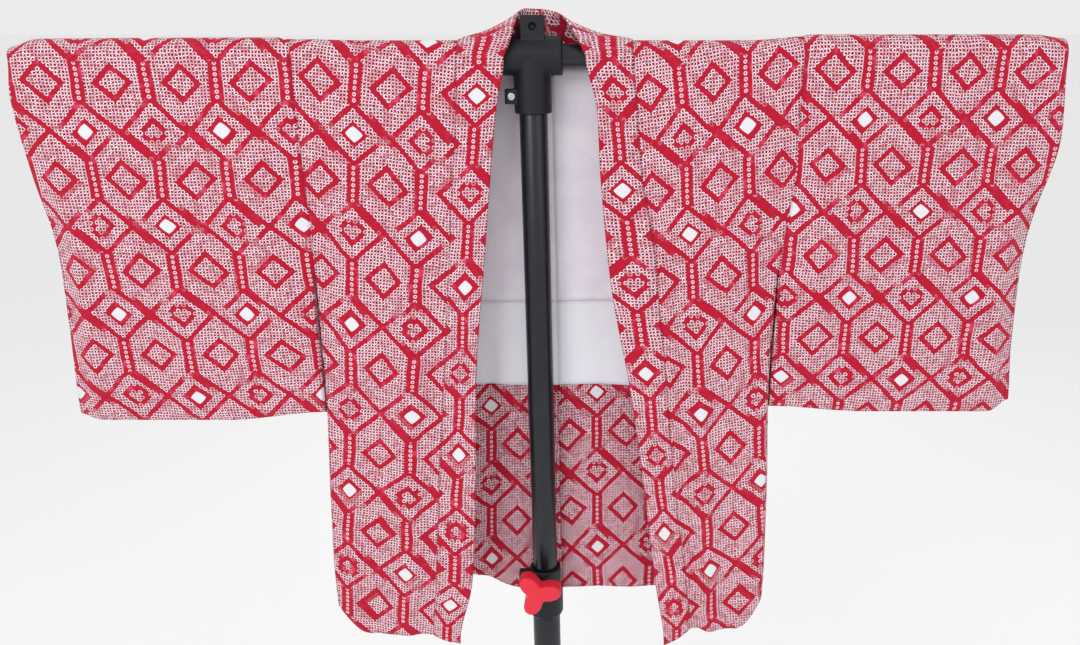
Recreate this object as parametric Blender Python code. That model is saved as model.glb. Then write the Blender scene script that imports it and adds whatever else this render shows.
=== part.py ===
"""Haori jacket hung open on a T-shaped display stand with a telescoping mast.

Metres, +Z up, X to the viewer's right and -Y to the viewer. The floor is z = 0 and the mast stands
on the Z axis. The crossbar runs through both sleeves, and heights of the cloth are drops, measured
down from the crossbar's axis. Each cloth piece is a true wall, worked out on its outer face and
thickened inwards; a lining is its panel's own points, moved inwards.
"""

import math
from collections import namedtuple

import bmesh
import bpy
from mathutils import Matrix, Vector

# ------------------------------------------------------------------ walls and gaps
CLOTH = 0.0012
LINING = 0.0010
COLLAR_BAND = 0.0022
SEAM_GAP = 0.0003
LAYER_GAP = 0.0004

# ------------------------------------------------------------------ stand
BAR_HEIGHT = 1.500
BAR_RADIUS = 0.0142
BAR_LEFT = -0.602
BAR_RIGHT = 0.620
BASE_RADIUS = 0.220
BASE_THICKNESS = 0.008
PLATE_STEPS = 48
PLATE_RIM = 0.002
PLATE_SLOPE = 0.004
PLATE_SLOPE_DROP = 0.003
FLANGE_WIDTH = 0.016
FLANGE_HEIGHT = 0.006
SOCKET_FOOT_WIDTH = 0.006
SOCKET_FOOT_HEIGHT = 0.014
SOCKET_WALL = 0.005
SOCKET_TOP = 0.060
SOFT_EDGE = 0.001
LOWER_RADIUS = 0.020
LOWER_BORE = 0.0181
LOWER_TOP = 0.742
UPPER_RADIUS = 0.0175
UPPER_BOTTOM = 0.360
UPPER_TOP = BAR_HEIGHT - 0.027
CLAMP_BOTTOM = 0.702
CLAMP_TOP = 0.783
CLAMP_RADIUS = 0.0250
CLAMP_RING_RADIUS = 0.0225
CLAMP_LIP = 0.0012
CLAMP_SLOPE_HEIGHT = 0.006
CLAMP_UPPER_GAP = 0.0006
WAIST_BOTTOM = LOWER_TOP + 0.002
WAIST_TOP = LOWER_TOP + 0.018
WAIST_DEPTH = 0.004
EAR_LOW = (-0.037, -0.016, CLAMP_TOP - 0.019)
EAR_HIGH = (-0.0185, -0.004, CLAMP_TOP - SOFT_EDGE)
SPLIT_LOW = (0.0100, -0.016, WAIST_BOTTOM + 0.0015)
SPLIT_HIGH = (0.030, 0.016, WAIST_TOP - 0.0005)
BOSS_RADIUS = 0.0105
BOSS_START = 0.0195
BOSS_STEPS = 24
KNOB_X = -0.008
KNOB_HEIGHT = 0.770
KNOB_BACK = -0.037
KNOB_THICKNESS = 0.021
KNOB_MEAN_RADIUS = 0.0240
KNOB_LOBE = 0.0100
KNOB_TURN = math.radians(8)
KNOB_STEPS = 36
KNOB_RIM = 0.0022
FIT_GAP = 0.0003
TEE_RADIUS = 0.0232
TEE_HALF_WIDTH = 0.037
TEE_SOCKET_RADIUS = 0.0230
TEE_SOCKET_DROP = 0.068
TEE_SOCKET_CHAMFER = 0.0015
TAB_LOW = (-0.0125, -0.0145, 0.0080)
TAB_HIGH = (0.0170, -0.0045, 0.0470)
RIB_LOW = (-0.0170, -0.0060, 0.0090)
RIB_HIGH = (-0.0100, 0.0030, 0.0360)
LUG_LOW = (-0.0335, -0.0140, -0.0565)
LUG_HIGH = (-0.0110, -0.0020, -0.0385)
TAB_HOLE_RADIUS = 0.0042
TAB_HOLE_CENTRE = (0.0022, 0.0, 0.034)
TAB_HOLE_FLOOR = 0.0075
TAB_HOLE_STEPS = 20
BAR_BORE_REACH = 0.060
MAST_BORE_DROP = 0.090
SCREW_PLACE = (-0.0250, -0.0140 - FIT_GAP, -0.0470)
SCREW_HEAD = (
    (0.0, 0.0),
    (0.0045, 0.0),
    (0.0045, 0.0028),
    (0.0038, 0.0035),
    (0.0022, 0.0035),
    (0.0022, 0.0015),
    (0.0, 0.0015),
)
SCREW_STEPS = 18
ROUND_STEPS = 32

# ------------------------------------------------------------------ garment
OVER_BAR_RADIUS = 0.0190
BACK_SEAM_X = 0.0215
BACK_LENGTH = 0.777
BACK_SIDE_RISE = 0.013
HEM_LEVEL_FROM = 0.82
HEM_RISE_REACH = 0.30
NECK_DEPTH = 0.0310
ARM_SEAM_DROP = 0.225
FURI_SLIT = 0.0050
SIDE_CURVE_REACH = 0.070
FOLD_HEIGHT = 0.0035
FOLDS_ACROSS = 1.3
GUSSET_BULGE = 0.12
COLLAR_CURL = 0.004
COLLAR_NECK_CURL = 0.009
COLLAR_CROWN = 0.0015
CUFF_TAPER = 0.89

# Where the front panel and the collar lie: the side seam, the collar seam and the collar's free edge.
Edge = namedtuple("Edge", "drop side seam free")
LEFT_EDGES = (
    Edge(drop=0.000, side=-0.289, seam=-0.088, free=-0.031),
    Edge(drop=0.060, side=-0.289, seam=-0.091, free=-0.042),
    Edge(drop=0.110, side=-0.289, seam=-0.096, free=-0.049),
    Edge(drop=0.225, side=-0.288, seam=-0.107, free=-0.062),
    Edge(drop=0.420, side=-0.289, seam=-0.125, free=-0.083),
    Edge(drop=0.600, side=-0.297, seam=-0.143, free=-0.092),
    Edge(drop=0.720, side=-0.301, seam=-0.153, free=-0.102),
    Edge(drop=0.823, side=-0.300, seam=-0.162, free=-0.124),
)
RIGHT_EDGES = (
    Edge(drop=0.000, side=0.328, seam=0.122, free=0.066),
    Edge(drop=0.060, side=0.328, seam=0.127, free=0.079),
    Edge(drop=0.140, side=0.328, seam=0.133, free=0.083),
    Edge(drop=0.225, side=0.319, seam=0.149, free=0.090),
    Edge(drop=0.300, side=0.311, seam=0.157, free=0.099),
    Edge(drop=0.420, side=0.308, seam=0.169, free=0.121),
    Edge(drop=0.600, side=0.313, seam=0.187, free=0.146),
    Edge(drop=0.720, side=0.314, seam=0.203, free=0.160),
    Edge(drop=0.828, side=0.311, seam=0.211, free=0.174),
)

# How far each sheet hangs in front of or behind the bar's axis: at the body's side edges, in the
# middle of the front and the back, and at the sleeve's inner edge, middle and cuff.
Depth = namedtuple("Depth", "drop side front back furi sleeve cuff")
DEPTHS = (
    Depth(drop=0.00, side=0.0190, front=0.0190, back=0.0190, furi=0.0190, sleeve=0.0190, cuff=0.0190),
    Depth(drop=0.06, side=0.0188, front=0.0215, back=0.0290, furi=0.0188, sleeve=0.0200, cuff=0.0180),
    Depth(drop=0.14, side=0.0165, front=0.0235, back=0.0310, furi=0.0165, sleeve=0.0215, cuff=0.0130),
    Depth(drop=0.23, side=0.0135, front=0.0255, back=0.0320, furi=0.0135, sleeve=0.0225, cuff=0.0026),
    Depth(drop=0.30, side=0.0115, front=0.0275, back=0.0325, furi=0.0110, sleeve=0.0215, cuff=0.0026),
    Depth(drop=0.40, side=0.0140, front=0.0290, back=0.0330, furi=0.0100, sleeve=0.0175, cuff=0.0026),
    Depth(drop=0.47, side=0.0165, front=0.0300, back=0.0335, furi=0.0090, sleeve=0.0100, cuff=0.0026),
    Depth(drop=0.62, side=0.0215, front=0.0320, back=0.0345, furi=0.0090, sleeve=0.0100, cuff=0.0026),
    Depth(drop=0.82, side=0.0280, front=0.0350, back=0.0365, furi=0.0090, sleeve=0.0100, cuff=0.0026),
)

# Height of the cloth's top line over the bar.
Top = namedtuple("Top", "x height")
TOP_LINE = (
    Top(x=-0.628, height=0.0100),
    Top(x=-0.598, height=0.0185),
    Top(x=-0.290, height=0.0200),
    Top(x=-0.200, height=0.0185),
    Top(x=0.260, height=0.0185),
    Top(x=0.340, height=0.0235),
    Top(x=0.605, height=0.0235),
    Top(x=0.646, height=0.0190),
)

# The collar's free edge round the neck, from bar level in front (share 0) to the back seam (share 1).
NeckEdge = namedtuple("NeckEdge", "share x y z")
LEFT_NECK = (
    NeckEdge(share=0.00, x=-0.031, y=-0.032, z=0.000),
    NeckEdge(share=0.22, x=-0.023, y=-0.029, z=0.017),
    NeckEdge(share=0.44, x=-0.018, y=-0.018, z=0.036),
    NeckEdge(share=0.67, x=-0.014, y=0.006, z=0.049),
    NeckEdge(share=0.84, x=-0.005, y=0.024, z=0.054),
    NeckEdge(share=1.00, x=0.009, y=0.031, z=0.054),
)
RIGHT_NECK = (
    NeckEdge(share=0.00, x=0.066, y=-0.032, z=0.000),
    NeckEdge(share=0.22, x=0.059, y=-0.028, z=0.015),
    NeckEdge(share=0.44, x=0.052, y=-0.018, z=0.028),
    NeckEdge(share=0.67, x=0.040, y=0.004, z=0.042),
    NeckEdge(share=0.84, x=0.026, y=0.023, z=0.050),
    NeckEdge(share=1.00, x=0.009, y=0.031, z=0.054),
)

# The cuff's edge.
Cuff = namedtuple("Cuff", "drop x")
LEFT_CUFF = (
    Cuff(drop=0.00, x=-0.626),
    Cuff(drop=0.05, x=-0.633),
    Cuff(drop=0.15, x=-0.628),
    Cuff(drop=0.25, x=-0.622),
    Cuff(drop=0.35, x=-0.627),
    Cuff(drop=0.48, x=-0.635),
)
RIGHT_CUFF = (
    Cuff(drop=0.00, x=0.643),
    Cuff(drop=0.10, x=0.651),
    Cuff(drop=0.19, x=0.637),
    Cuff(drop=0.27, x=0.631),
    Cuff(drop=0.37, x=0.634),
    Cuff(drop=0.47, x=0.642),
)

# One half of the jacket. The sign is the way from the neck out to the cuff.
Half = namedtuple(
    "Half",
    "name sign edges neck cuff front_length corner_rise tip_length back_rise"
    " sleeve_drop sleeve_inner_rise sleeve_corner",
)
LEFT = Half(
    name="left",
    sign=-1,
    edges=LEFT_EDGES,
    neck=LEFT_NECK,
    cuff=LEFT_CUFF,
    front_length=0.812,
    corner_rise=0.044,
    tip_length=0.823,
    back_rise=0.024,
    sleeve_drop=0.482,
    sleeve_inner_rise=0.012,
    sleeve_corner=0.010,
)
RIGHT = Half(
    name="right",
    sign=1,
    edges=RIGHT_EDGES,
    neck=RIGHT_NECK,
    cuff=RIGHT_CUFF,
    front_length=0.804,
    corner_rise=0.044,
    tip_length=0.828,
    back_rise=0.004,
    sleeve_drop=0.469,
    sleeve_inner_rise=0.008,
    sleeve_corner=0.018,
)

# Shares of a panel's length, width and ring at which its points lie.
BODY_ROWS = (0.0, 0.02, 0.07, 0.14, 0.21, 0.28, 0.37, 0.412, 0.49, 0.57, 0.66, 0.75, 0.84, 0.92, 1.0)
LINING_TOP = 0.02
BAND_TOP = 0.412
FACING_TOP = 0.57
GUSSET_TOP = 0.37
BODY_COLUMNS = (0.0, 0.12, 0.28, 0.46, 0.64, 0.82, 1.0)
NECK_COLUMNS = (0.34, 0.67, 1.0)
SLEEVE_ROWS = (0.0, 0.08, 0.18, 0.30, 0.40, 0.486, 0.60, 0.73, 0.87, 1.0)
CUFF_CLOSED_FROM = 0.486
SLEEVE_COLUMNS = (0.0, 0.015, 0.12, 0.30, 0.52, 0.74, CUFF_TAPER, 0.96, 1.0)
OVER_BAR_STEPS = 6
SLEEVE_FOLD_STEPS = 4
GUSSET_STEPS = 3
CORNER_REACH = 0.35

# ------------------------------------------------------------------ colours
RED_SHIBORI = (0.60, 0.09, 0.14, 1.0)
LINING_SILK = (0.70, 0.66, 0.72, 1.0)
BAND_SILK = (0.80, 0.80, 0.92, 1.0)
SATIN_BLACK = (0.012, 0.012, 0.015, 1.0)
KNOB_RED = (0.80, 0.03, 0.06, 1.0)
BRIGHT_STEEL = (0.60, 0.60, 0.62, 1.0)


# ------------------------------------------------------------------ small tools
def clear_scene():
    for thing in list(bpy.data.objects):
        bpy.data.objects.remove(thing, do_unlink=True)


def make_material(name, colour, roughness, metallic=0.0):
    material = bpy.data.materials.new(name)
    material.use_nodes = True
    shader = material.node_tree.nodes["Principled BSDF"]
    shader.inputs["Base Color"].default_value = colour
    shader.inputs["Roughness"].default_value = roughness
    shader.inputs["Metallic"].default_value = metallic
    return material


def blend(a, b, share):
    return a + (b - a) * share


def ease(share):
    share = min(1.0, max(0.0, share))
    return share * share * (3.0 - 2.0 * share)


def read(table, column, at):
    """A named column of a table at a value of its first column, straight between its rows."""
    for low, high in zip(table, table[1:]):
        if at <= high[0]:
            break
    share = min(1.0, max(0.0, (at - low[0]) / (high[0] - low[0])))
    return blend(getattr(low, column), getattr(high, column), share)


def add_object(name, bm, material):
    mesh = bpy.data.meshes.new(name)
    bm.normal_update()
    bm.to_mesh(mesh)
    bm.free()
    mesh.materials.append(material)
    mesh.shade_smooth()
    mesh.set_sharp_from_angle(angle=math.radians(35))
    thing = bpy.data.objects.new(name, mesh)
    bpy.context.scene.collection.objects.link(thing)
    return thing


# ------------------------------------------------------------------ cloth walls
def grid_cells(points, rows, columns, outward):
    """Four-sided cells of a grid, leaving out those with a missing corner."""
    cells = []
    for row, above in zip(rows, rows[1:]):
        for column, beside in zip(columns, columns[1:]):
            cell = [(row, column), (row, beside), (above, beside), (above, column)]
            if all(key in points for key in cell):
                cells.append(cell if outward > 0 else [cell[0], *cell[:0:-1]])
    return cells


def outward_steps(points, cells):
    """The way outwards at each point, long enough to keep the wall even where it folds."""
    facing = {key: [] for key in points}
    for cell in cells:
        first, third = points[cell[2]] - points[cell[0]], points[cell[-1]] - points[cell[1]]
        for key in cell:
            facing[key].append(first.cross(third).normalized())
    steps = {}
    for key, normals in facing.items():
        if normals:
            mean = sum(normals, Vector()).normalized()
            steps[key] = mean / max(0.5, min(mean.dot(normal) for normal in normals))
    return steps


def cloth_wall(name, points, steps, cells, inset, thickness, material, shifts=None):
    """A closed wall over the cells: its outer face lies inset inside the points.

    Each cell is split along the same corners on every layer, so that layers stay parallel.
    """
    shifts = shifts or {}
    bm = bmesh.new()
    outer, inner = {}, {}
    for key in sorted({key for cell in cells for key in cell}):
        place = points[key] + shifts.get(key, Vector())
        outer[key] = bm.verts.new(place - steps[key] * inset)
        inner[key] = bm.verts.new(place - steps[key] * (inset + thickness))
    sides = {}
    for cell in cells:
        for second, third in zip(cell[1:], cell[2:]):
            bm.faces.new([outer[key] for key in (cell[0], second, third)])
            bm.faces.new([inner[key] for key in (third, second, cell[0])])
        for pair in zip(cell, cell[1:] + cell[:1]):
            sides[pair] = True
    for start, end in sides:
        if (end, start) not in sides:
            bm.faces.new([outer[end], outer[start], inner[start], inner[end]])
    return add_object(name, bm, material)


# ------------------------------------------------------------------ body panels
def side_blend(x, half, drop):
    return ease(abs(x - read(half.edges, "side", drop)) / SIDE_CURVE_REACH)


def front_point(half, across, share):
    corner = max(0.0, 1.0 - across / CORNER_REACH) ** 2
    drop = share * (half.front_length - half.corner_rise * corner)
    side, seam = read(half.edges, "side", drop), read(half.edges, "seam", drop)
    x = blend(side, seam, across)
    depth = blend(read(DEPTHS, "side", drop), read(DEPTHS, "front", drop), side_blend(x, half, drop))
    fold = FOLD_HEIGHT * ease(drop / half.front_length) * math.sin(math.tau * FOLDS_ACROSS * across)
    return Vector((x, -depth - fold, BAR_HEIGHT - drop))


def back_point(half, across, share, inside_neck=0.0):
    top, middle = half.edges[0], BACK_SEAM_X + half.sign * SEAM_GAP / 2
    corner = max(0.0, 1.0 - across / CORNER_REACH) ** 2
    reach = blend(across * (top.seam - top.side) / (middle - top.side), 1.0, inside_neck)
    rise = half.back_rise * ease((HEM_LEVEL_FROM - reach) / HEM_RISE_REACH)
    hem_share = ease((share - FACING_TOP) / (1.0 - FACING_TOP))
    drop = share * (BACK_LENGTH - BACK_SIDE_RISE * corner) - rise * hem_share
    x = blend(read(half.edges, "side", drop), top.seam, across)
    if inside_neck:
        x = blend(top.seam, middle, inside_neck)
    depth = blend(read(DEPTHS, "side", drop), read(DEPTHS, "back", drop), side_blend(x, half, drop))
    depth = blend(depth, max(depth, NECK_DEPTH), ease(1.4 * inside_neck))
    return Vector((x, depth, BAR_HEIGHT - drop))


def over_bar_point(half, across, share):
    x = blend(half.edges[0].side, half.edges[0].seam, across)
    angle = math.pi * share
    top = read(TOP_LINE, "height", x)
    return Vector((x, -OVER_BAR_RADIUS * math.cos(angle), BAR_HEIGHT + top * math.sin(angle)))


def body_points(half):
    """Points by (row, column): up the front, over the bar and down the back to the hem."""
    points = {}
    for column, across in enumerate(BODY_COLUMNS):
        path = [front_point(half, across, share) for share in reversed(BODY_ROWS)]
        path += [over_bar_point(half, across, step / OVER_BAR_STEPS) for step in range(1, OVER_BAR_STEPS)]
        path += [back_point(half, across, share) for share in BODY_ROWS]
        points.update({(row, column): place for row, place in enumerate(path)})
    for column, inside in enumerate(NECK_COLUMNS, len(BODY_COLUMNS)):
        for row, share in enumerate(BODY_ROWS, back_row(0.0)):
            points[row, column] = back_point(half, 1.0, share, inside)
    return points


def front_row(share):
    return len(BODY_ROWS) - 1 - BODY_ROWS.index(share)


def back_row(share):
    return len(BODY_ROWS) - 1 + OVER_BAR_STEPS + BODY_ROWS.index(share)


def mitred(points, steps, half):
    """Turns the wall's side edges below the gusset's top to meet the gusset's on a mitre."""
    for share in BODY_ROWS[BODY_ROWS.index(GUSSET_TOP):]:
        steps[front_row(share), 0] = Vector((half.sign, -1.0, 0.0))
        steps[back_row(share), 0] = Vector((half.sign, 1.0, 0.0))
    return steps


def make_body(half, materials):
    points = body_points(half)
    rows = range(2 * len(BODY_ROWS) - 1 + OVER_BAR_STEPS)
    columns = range(len(BODY_COLUMNS) + len(NECK_COLUMNS))
    cells = grid_cells(points, rows, columns, -half.sign)
    steps = mitred(points, outward_steps(points, cells), half)
    cloth_wall(f"body_{half.name}", points, steps, cells, 0.0, CLOTH, materials["shibori"])
    layers = (
        ("back_lining", LINING_TOP, BAND_TOP, "lining"),
        ("lining_band", BAND_TOP, FACING_TOP, "band"),
        ("hem_facing", FACING_TOP, 1.0, "shibori"),
    )
    for name, top, bottom, finish in layers:
        rows = range(back_row(top), back_row(bottom) + 1)
        cells = grid_cells(points, rows, columns, -half.sign)
        lowered = {(rows[0], column): Vector((0.0, 0.0, -SEAM_GAP)) for column in columns}
        cloth_wall(
            f"{name}_{half.name}", points, steps, cells, CLOTH + LAYER_GAP, LINING, materials[finish], lowered
        )
    make_gusset(half, points, materials)
    return points, steps


def make_gusset(half, body, materials):
    """The wedge between the side edges of the front and the back, bulging out a little."""
    points, fixed = {}, {}
    shares = BODY_ROWS[BODY_ROWS.index(GUSSET_TOP):]
    for row, share in enumerate(shares):
        front, back = body[front_row(share), 0], body[back_row(share), 0]
        bulge = GUSSET_BULGE * (back - front).length
        for column in range(GUSSET_STEPS + 1):
            across = column / GUSSET_STEPS
            out = SEAM_GAP + bulge * math.sin(math.pi * across)
            points[row, column] = front.lerp(back, across) + Vector((half.sign * out, 0.0, 0.0))
        fixed[row, 0] = Vector((half.sign, -1.0, 0.0))
        fixed[row, GUSSET_STEPS] = Vector((half.sign, 1.0, 0.0))
    cells = grid_cells(points, range(len(shares)), range(GUSSET_STEPS + 1), -half.sign)
    steps = {**outward_steps(points, cells), **fixed}
    cloth_wall(f"gusset_{half.name}", points, steps, cells, 0.0, CLOTH, materials["shibori"])


# ------------------------------------------------------------------ collar
def collar_pairs(half, body):
    """(body key, seam point, free-edge point) from the hem up to the back seam."""
    inwards = Vector((-half.sign * SEAM_GAP, 0.0, 0.0))
    upwards = Vector((0.0, 0.0, SEAM_GAP))
    last = len(BODY_COLUMNS) - 1
    pairs = []
    for share in reversed(BODY_ROWS[1:]):
        key = (front_row(share), last)
        seam = body[key] + inwards
        drop = share * blend(half.front_length, half.tip_length, share)
        curl = blend(COLLAR_NECK_CURL, COLLAR_CURL, ease(drop / 0.15))
        free = Vector((read(half.edges, "free", drop), seam.y - curl, BAR_HEIGHT - drop))
        pairs.append((key, seam, free))
    keys = [(row, last) for row in range(front_row(0.0), back_row(0.0) + 1)]
    keys += [(back_row(0.0), last + column) for column in range(1, len(NECK_COLUMNS) + 1)]
    for step, key in enumerate(keys):
        share = step / (len(keys) - 1)
        seam = body[key].copy()
        if key[1] == last:
            seam += inwards
        if key[0] == back_row(0.0):
            seam += upwards
        free = Vector([read(half.neck, axis, share) for axis in "xyz"])
        pairs.append((key, seam, free + Vector((0.0, 0.0, BAR_HEIGHT))))
    return pairs


def make_collar(bodies, materials):
    points, fixed, row = {}, {}, 0
    for half, body, steps in bodies:
        pairs = collar_pairs(half, body)
        if half is RIGHT:
            pairs = pairs[-2::-1]
        for key, seam, free in pairs:
            points[row, 0], points[row, 2] = seam, free
            points[row, 1] = seam.lerp(free, 0.5)
            fixed[row, 0] = steps[key]
            row += 1
    cells = grid_cells(points, range(row), range(3), 1)
    crown = outward_steps(points, cells)
    for station in range(row):
        points[station, 1] = points[station, 1] + crown[station, 1].normalized() * COLLAR_CROWN
    steps = {**outward_steps(points, cells), **fixed}
    cloth_wall("collar", points, steps, cells, 0.0, COLLAR_BAND, materials["shibori"])


# ------------------------------------------------------------------ sleeves
def sleeve_x(half, across, drop):
    slit = SEAM_GAP + FURI_SLIT * ease((drop - ARM_SEAM_DROP) / 0.10)
    inner = read(half.edges, "side", drop) + half.sign * slit
    return blend(inner, read(half.cuff, "x", drop), across)


def sleeve_depth(across, drop):
    depth = blend(read(DEPTHS, "furi", drop), read(DEPTHS, "sleeve", drop), ease(across / 0.2))
    return blend(depth, read(DEPTHS, "cuff", drop), ease((across - CUFF_TAPER) / (1.0 - CUFF_TAPER)))


def sleeve_ring(half, across):
    """One ring of the bag: bottom fold, up the front, over the bar and down the back."""
    inner_rise = half.sleeve_inner_rise * (1.0 - ease(across / 0.4))
    corner_rise = half.sleeve_corner * ease((across - CUFF_TAPER) / (1.0 - CUFF_TAPER)) ** 2
    bottom = half.sleeve_drop - inner_rise - corner_rise
    fold = sleeve_depth(across, bottom)
    top_x = sleeve_x(half, across, 0.0)
    top = read(TOP_LINE, "height", top_x)
    ring = []
    for step in range(SLEEVE_FOLD_STEPS // 2):
        angle = math.pi * step / SLEEVE_FOLD_STEPS
        drop = bottom - fold + fold * math.cos(angle)
        ring.append(Vector((sleeve_x(half, across, drop), -fold * math.sin(angle), BAR_HEIGHT - drop)))
    for share in reversed(SLEEVE_ROWS):
        drop = share * (bottom - fold)
        ring.append(Vector((sleeve_x(half, across, drop), -sleeve_depth(across, drop), BAR_HEIGHT - drop)))
    for step in range(1, OVER_BAR_STEPS // 2 + 1):
        angle = math.pi * step / OVER_BAR_STEPS
        place = (top_x, -OVER_BAR_RADIUS * math.cos(angle), BAR_HEIGHT + top * math.sin(angle))
        ring.append(Vector(place))
    return ring + [Vector((place.x, -place.y, place.z)) for place in reversed(ring[1:-1])]


def make_sleeve(half, materials):
    points = {}
    for column, across in enumerate(SLEEVE_COLUMNS):
        ring = sleeve_ring(half, across)
        points.update({(row, column): place for row, place in enumerate(ring)})
    around = len(ring)
    cuff = len(SLEEVE_COLUMNS) - 1
    rows = [*range(around), 0]
    cells = grid_cells(points, rows, range(cuff + 1), half.sign)
    closed_rows = SLEEVE_FOLD_STEPS // 2 + len(SLEEVE_ROWS) - 1 - SLEEVE_ROWS.index(CUFF_CLOSED_FROM)
    for row in range(closed_rows):
        end = [(row + 1, cuff), (row, cuff), ((around - row) % around, cuff), (around - row - 1, cuff)]
        if row == 0:
            end = [end[0], end[1], end[3]]
        cells.append(end if half.sign > 0 else end[::-1])
    steps = outward_steps(points, cells)
    cloth_wall(f"sleeve_{half.name}", points, steps, cells, 0.0, CLOTH, materials["shibori"])
    lined = range(1, SLEEVE_COLUMNS.index(CUFF_TAPER) + 1)
    cells = grid_cells(points, rows, lined, half.sign)
    cloth_wall(
        f"sleeve_lining_{half.name}", points, steps, cells, CLOTH + LAYER_GAP, LINING, materials["lining"]
    )


# ------------------------------------------------------------------ stand
def turned(name, profile, material, steps=ROUND_STEPS):
    """A solid turned round the Z axis from a closed outline of (radius, height) points."""
    bm = bmesh.new()
    ring = [bm.verts.new((radius, 0.0, height)) for radius, height in profile]
    sides = [pair for pair in zip(ring, ring[1:] + ring[:1]) if pair[0].co.x or pair[1].co.x]
    edges = [bm.edges.new(pair) for pair in sides]
    bmesh.ops.spin(
        bm, geom=ring + edges, cent=(0, 0, 0), axis=(0, 0, 1), angle=math.tau, steps=steps, use_merge=True
    )
    bmesh.ops.remove_doubles(bm, verts=bm.verts, dist=1e-6)
    bmesh.ops.dissolve_degenerate(bm, edges=bm.edges, dist=1e-6)
    bmesh.ops.recalc_face_normals(bm, faces=bm.faces)
    return add_object(name, bm, material)


def rod(name, radius, low, high, material, chamfer=0.001, steps=ROUND_STEPS):
    """A round bar along Z, with its ends chamfered."""
    profile = (
        (0.0, low),
        (radius - chamfer, low),
        (radius, low + chamfer),
        (radius, high - chamfer),
        (radius - chamfer, high),
        (0.0, high),
    )
    return turned(name, profile, material, steps)


def bore(name, radius, low, high, material, steps=ROUND_STEPS):
    """A plain cylinder along Z, to cut a hole with."""
    return turned(name, ((0.0, low), (radius, low), (radius, high), (0.0, high)), material, steps)


def block(name, low, high, material):
    """A box between its lowest and highest corners."""
    low, high = Vector(low), Vector(high)
    bm = bmesh.new()
    bmesh.ops.create_cube(bm, size=1.0)
    bmesh.ops.scale(bm, vec=high - low, verts=bm.verts)
    bmesh.ops.translate(bm, vec=(low + high) / 2, verts=bm.verts)
    return add_object(name, bm, material)


def lay_along(thing, turn, place=(0.0, 0.0, 0.0)):
    """Turns and moves a new object's mesh, so that the object itself stays unturned."""
    thing.data.transform(Matrix.Translation(place) @ turn.to_4x4())
    return thing


def combine(target, tool, operation, solver="EXACT"):
    """A Boolean with a helper that the build leaves out."""
    tool.hide_render = True
    tool.display_type = "WIRE"
    change = target.modifiers.new(f"{operation.lower()}_{tool.name}", "BOOLEAN")
    change.operation = operation
    change.solver = solver
    change.object = tool


ALONG_X = Matrix.Rotation(math.radians(90), 3, "Y")
ALONG_MINUS_Y = Matrix.Rotation(math.radians(90), 3, "X")


def make_base(materials):
    plate = (
        (0.0, 0.0),
        (BASE_RADIUS - PLATE_RIM, 0.0),
        (BASE_RADIUS, PLATE_RIM),
        (BASE_RADIUS, BASE_THICKNESS - PLATE_SLOPE_DROP),
        (BASE_RADIUS - PLATE_SLOPE, BASE_THICKNESS),
        (0.0, BASE_THICKNESS),
    )
    turned("base_plate", plate, materials["black"], PLATE_STEPS)
    foot, inside = BASE_THICKNESS + FIT_GAP, LOWER_RADIUS + FIT_GAP
    socket = (
        (inside, foot),
        (inside + FLANGE_WIDTH, foot),
        (inside + FLANGE_WIDTH, foot + FLANGE_HEIGHT),
        (inside + SOCKET_FOOT_WIDTH, foot + SOCKET_FOOT_HEIGHT),
        (inside + SOCKET_WALL, SOCKET_TOP - SOFT_EDGE),
        (inside + SOCKET_WALL - SOFT_EDGE, SOCKET_TOP),
        (inside, SOCKET_TOP),
    )
    turned("base_socket", socket, materials["black"])
    tube = (
        (LOWER_BORE, foot),
        (LOWER_RADIUS, foot),
        (LOWER_RADIUS, LOWER_TOP),
        (LOWER_BORE, LOWER_TOP),
    )
    turned("lower_tube", tube, materials["black"])


def make_clamp(materials):
    """The collar that joins the two tubes: a split ring with an ear and a boss for the knob's screw."""
    low_bore, high_bore = LOWER_RADIUS + FIT_GAP, UPPER_RADIUS + CLAMP_UPPER_GAP
    profile = (
        (low_bore, CLAMP_BOTTOM),
        (low_bore + CLAMP_LIP, CLAMP_BOTTOM),
        (CLAMP_RADIUS, CLAMP_BOTTOM + CLAMP_SLOPE_HEIGHT),
        (CLAMP_RADIUS, WAIST_BOTTOM),
        (CLAMP_RADIUS - WAIST_DEPTH, WAIST_BOTTOM + SOFT_EDGE),
        (CLAMP_RADIUS - WAIST_DEPTH, WAIST_TOP),
        (CLAMP_RING_RADIUS, WAIST_TOP + SOFT_EDGE),
        (CLAMP_RING_RADIUS, CLAMP_TOP - SOFT_EDGE),
        (CLAMP_RING_RADIUS - SOFT_EDGE, CLAMP_TOP),
        (high_bore, CLAMP_TOP),
        (high_bore, LOWER_TOP + SOFT_EDGE),
        (low_bore, LOWER_TOP + SOFT_EDGE),
    )
    black = materials["black"]
    collar = turned("clamp_collar", profile, black)
    boss_end = -KNOB_BACK - SOFT_EDGE
    boss = rod("clamp_boss_tool", BOSS_RADIUS, BOSS_START, boss_end, black, SOFT_EDGE, BOSS_STEPS)
    lay_along(boss, ALONG_MINUS_Y, (KNOB_X, 0.0, KNOB_HEIGHT))
    combine(collar, boss, "UNION")
    combine(collar, block("clamp_ear_tool", EAR_LOW, EAR_HIGH, black), "UNION")
    combine(collar, block("clamp_split_tool", SPLIT_LOW, SPLIT_HIGH, black), "DIFFERENCE")


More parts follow.
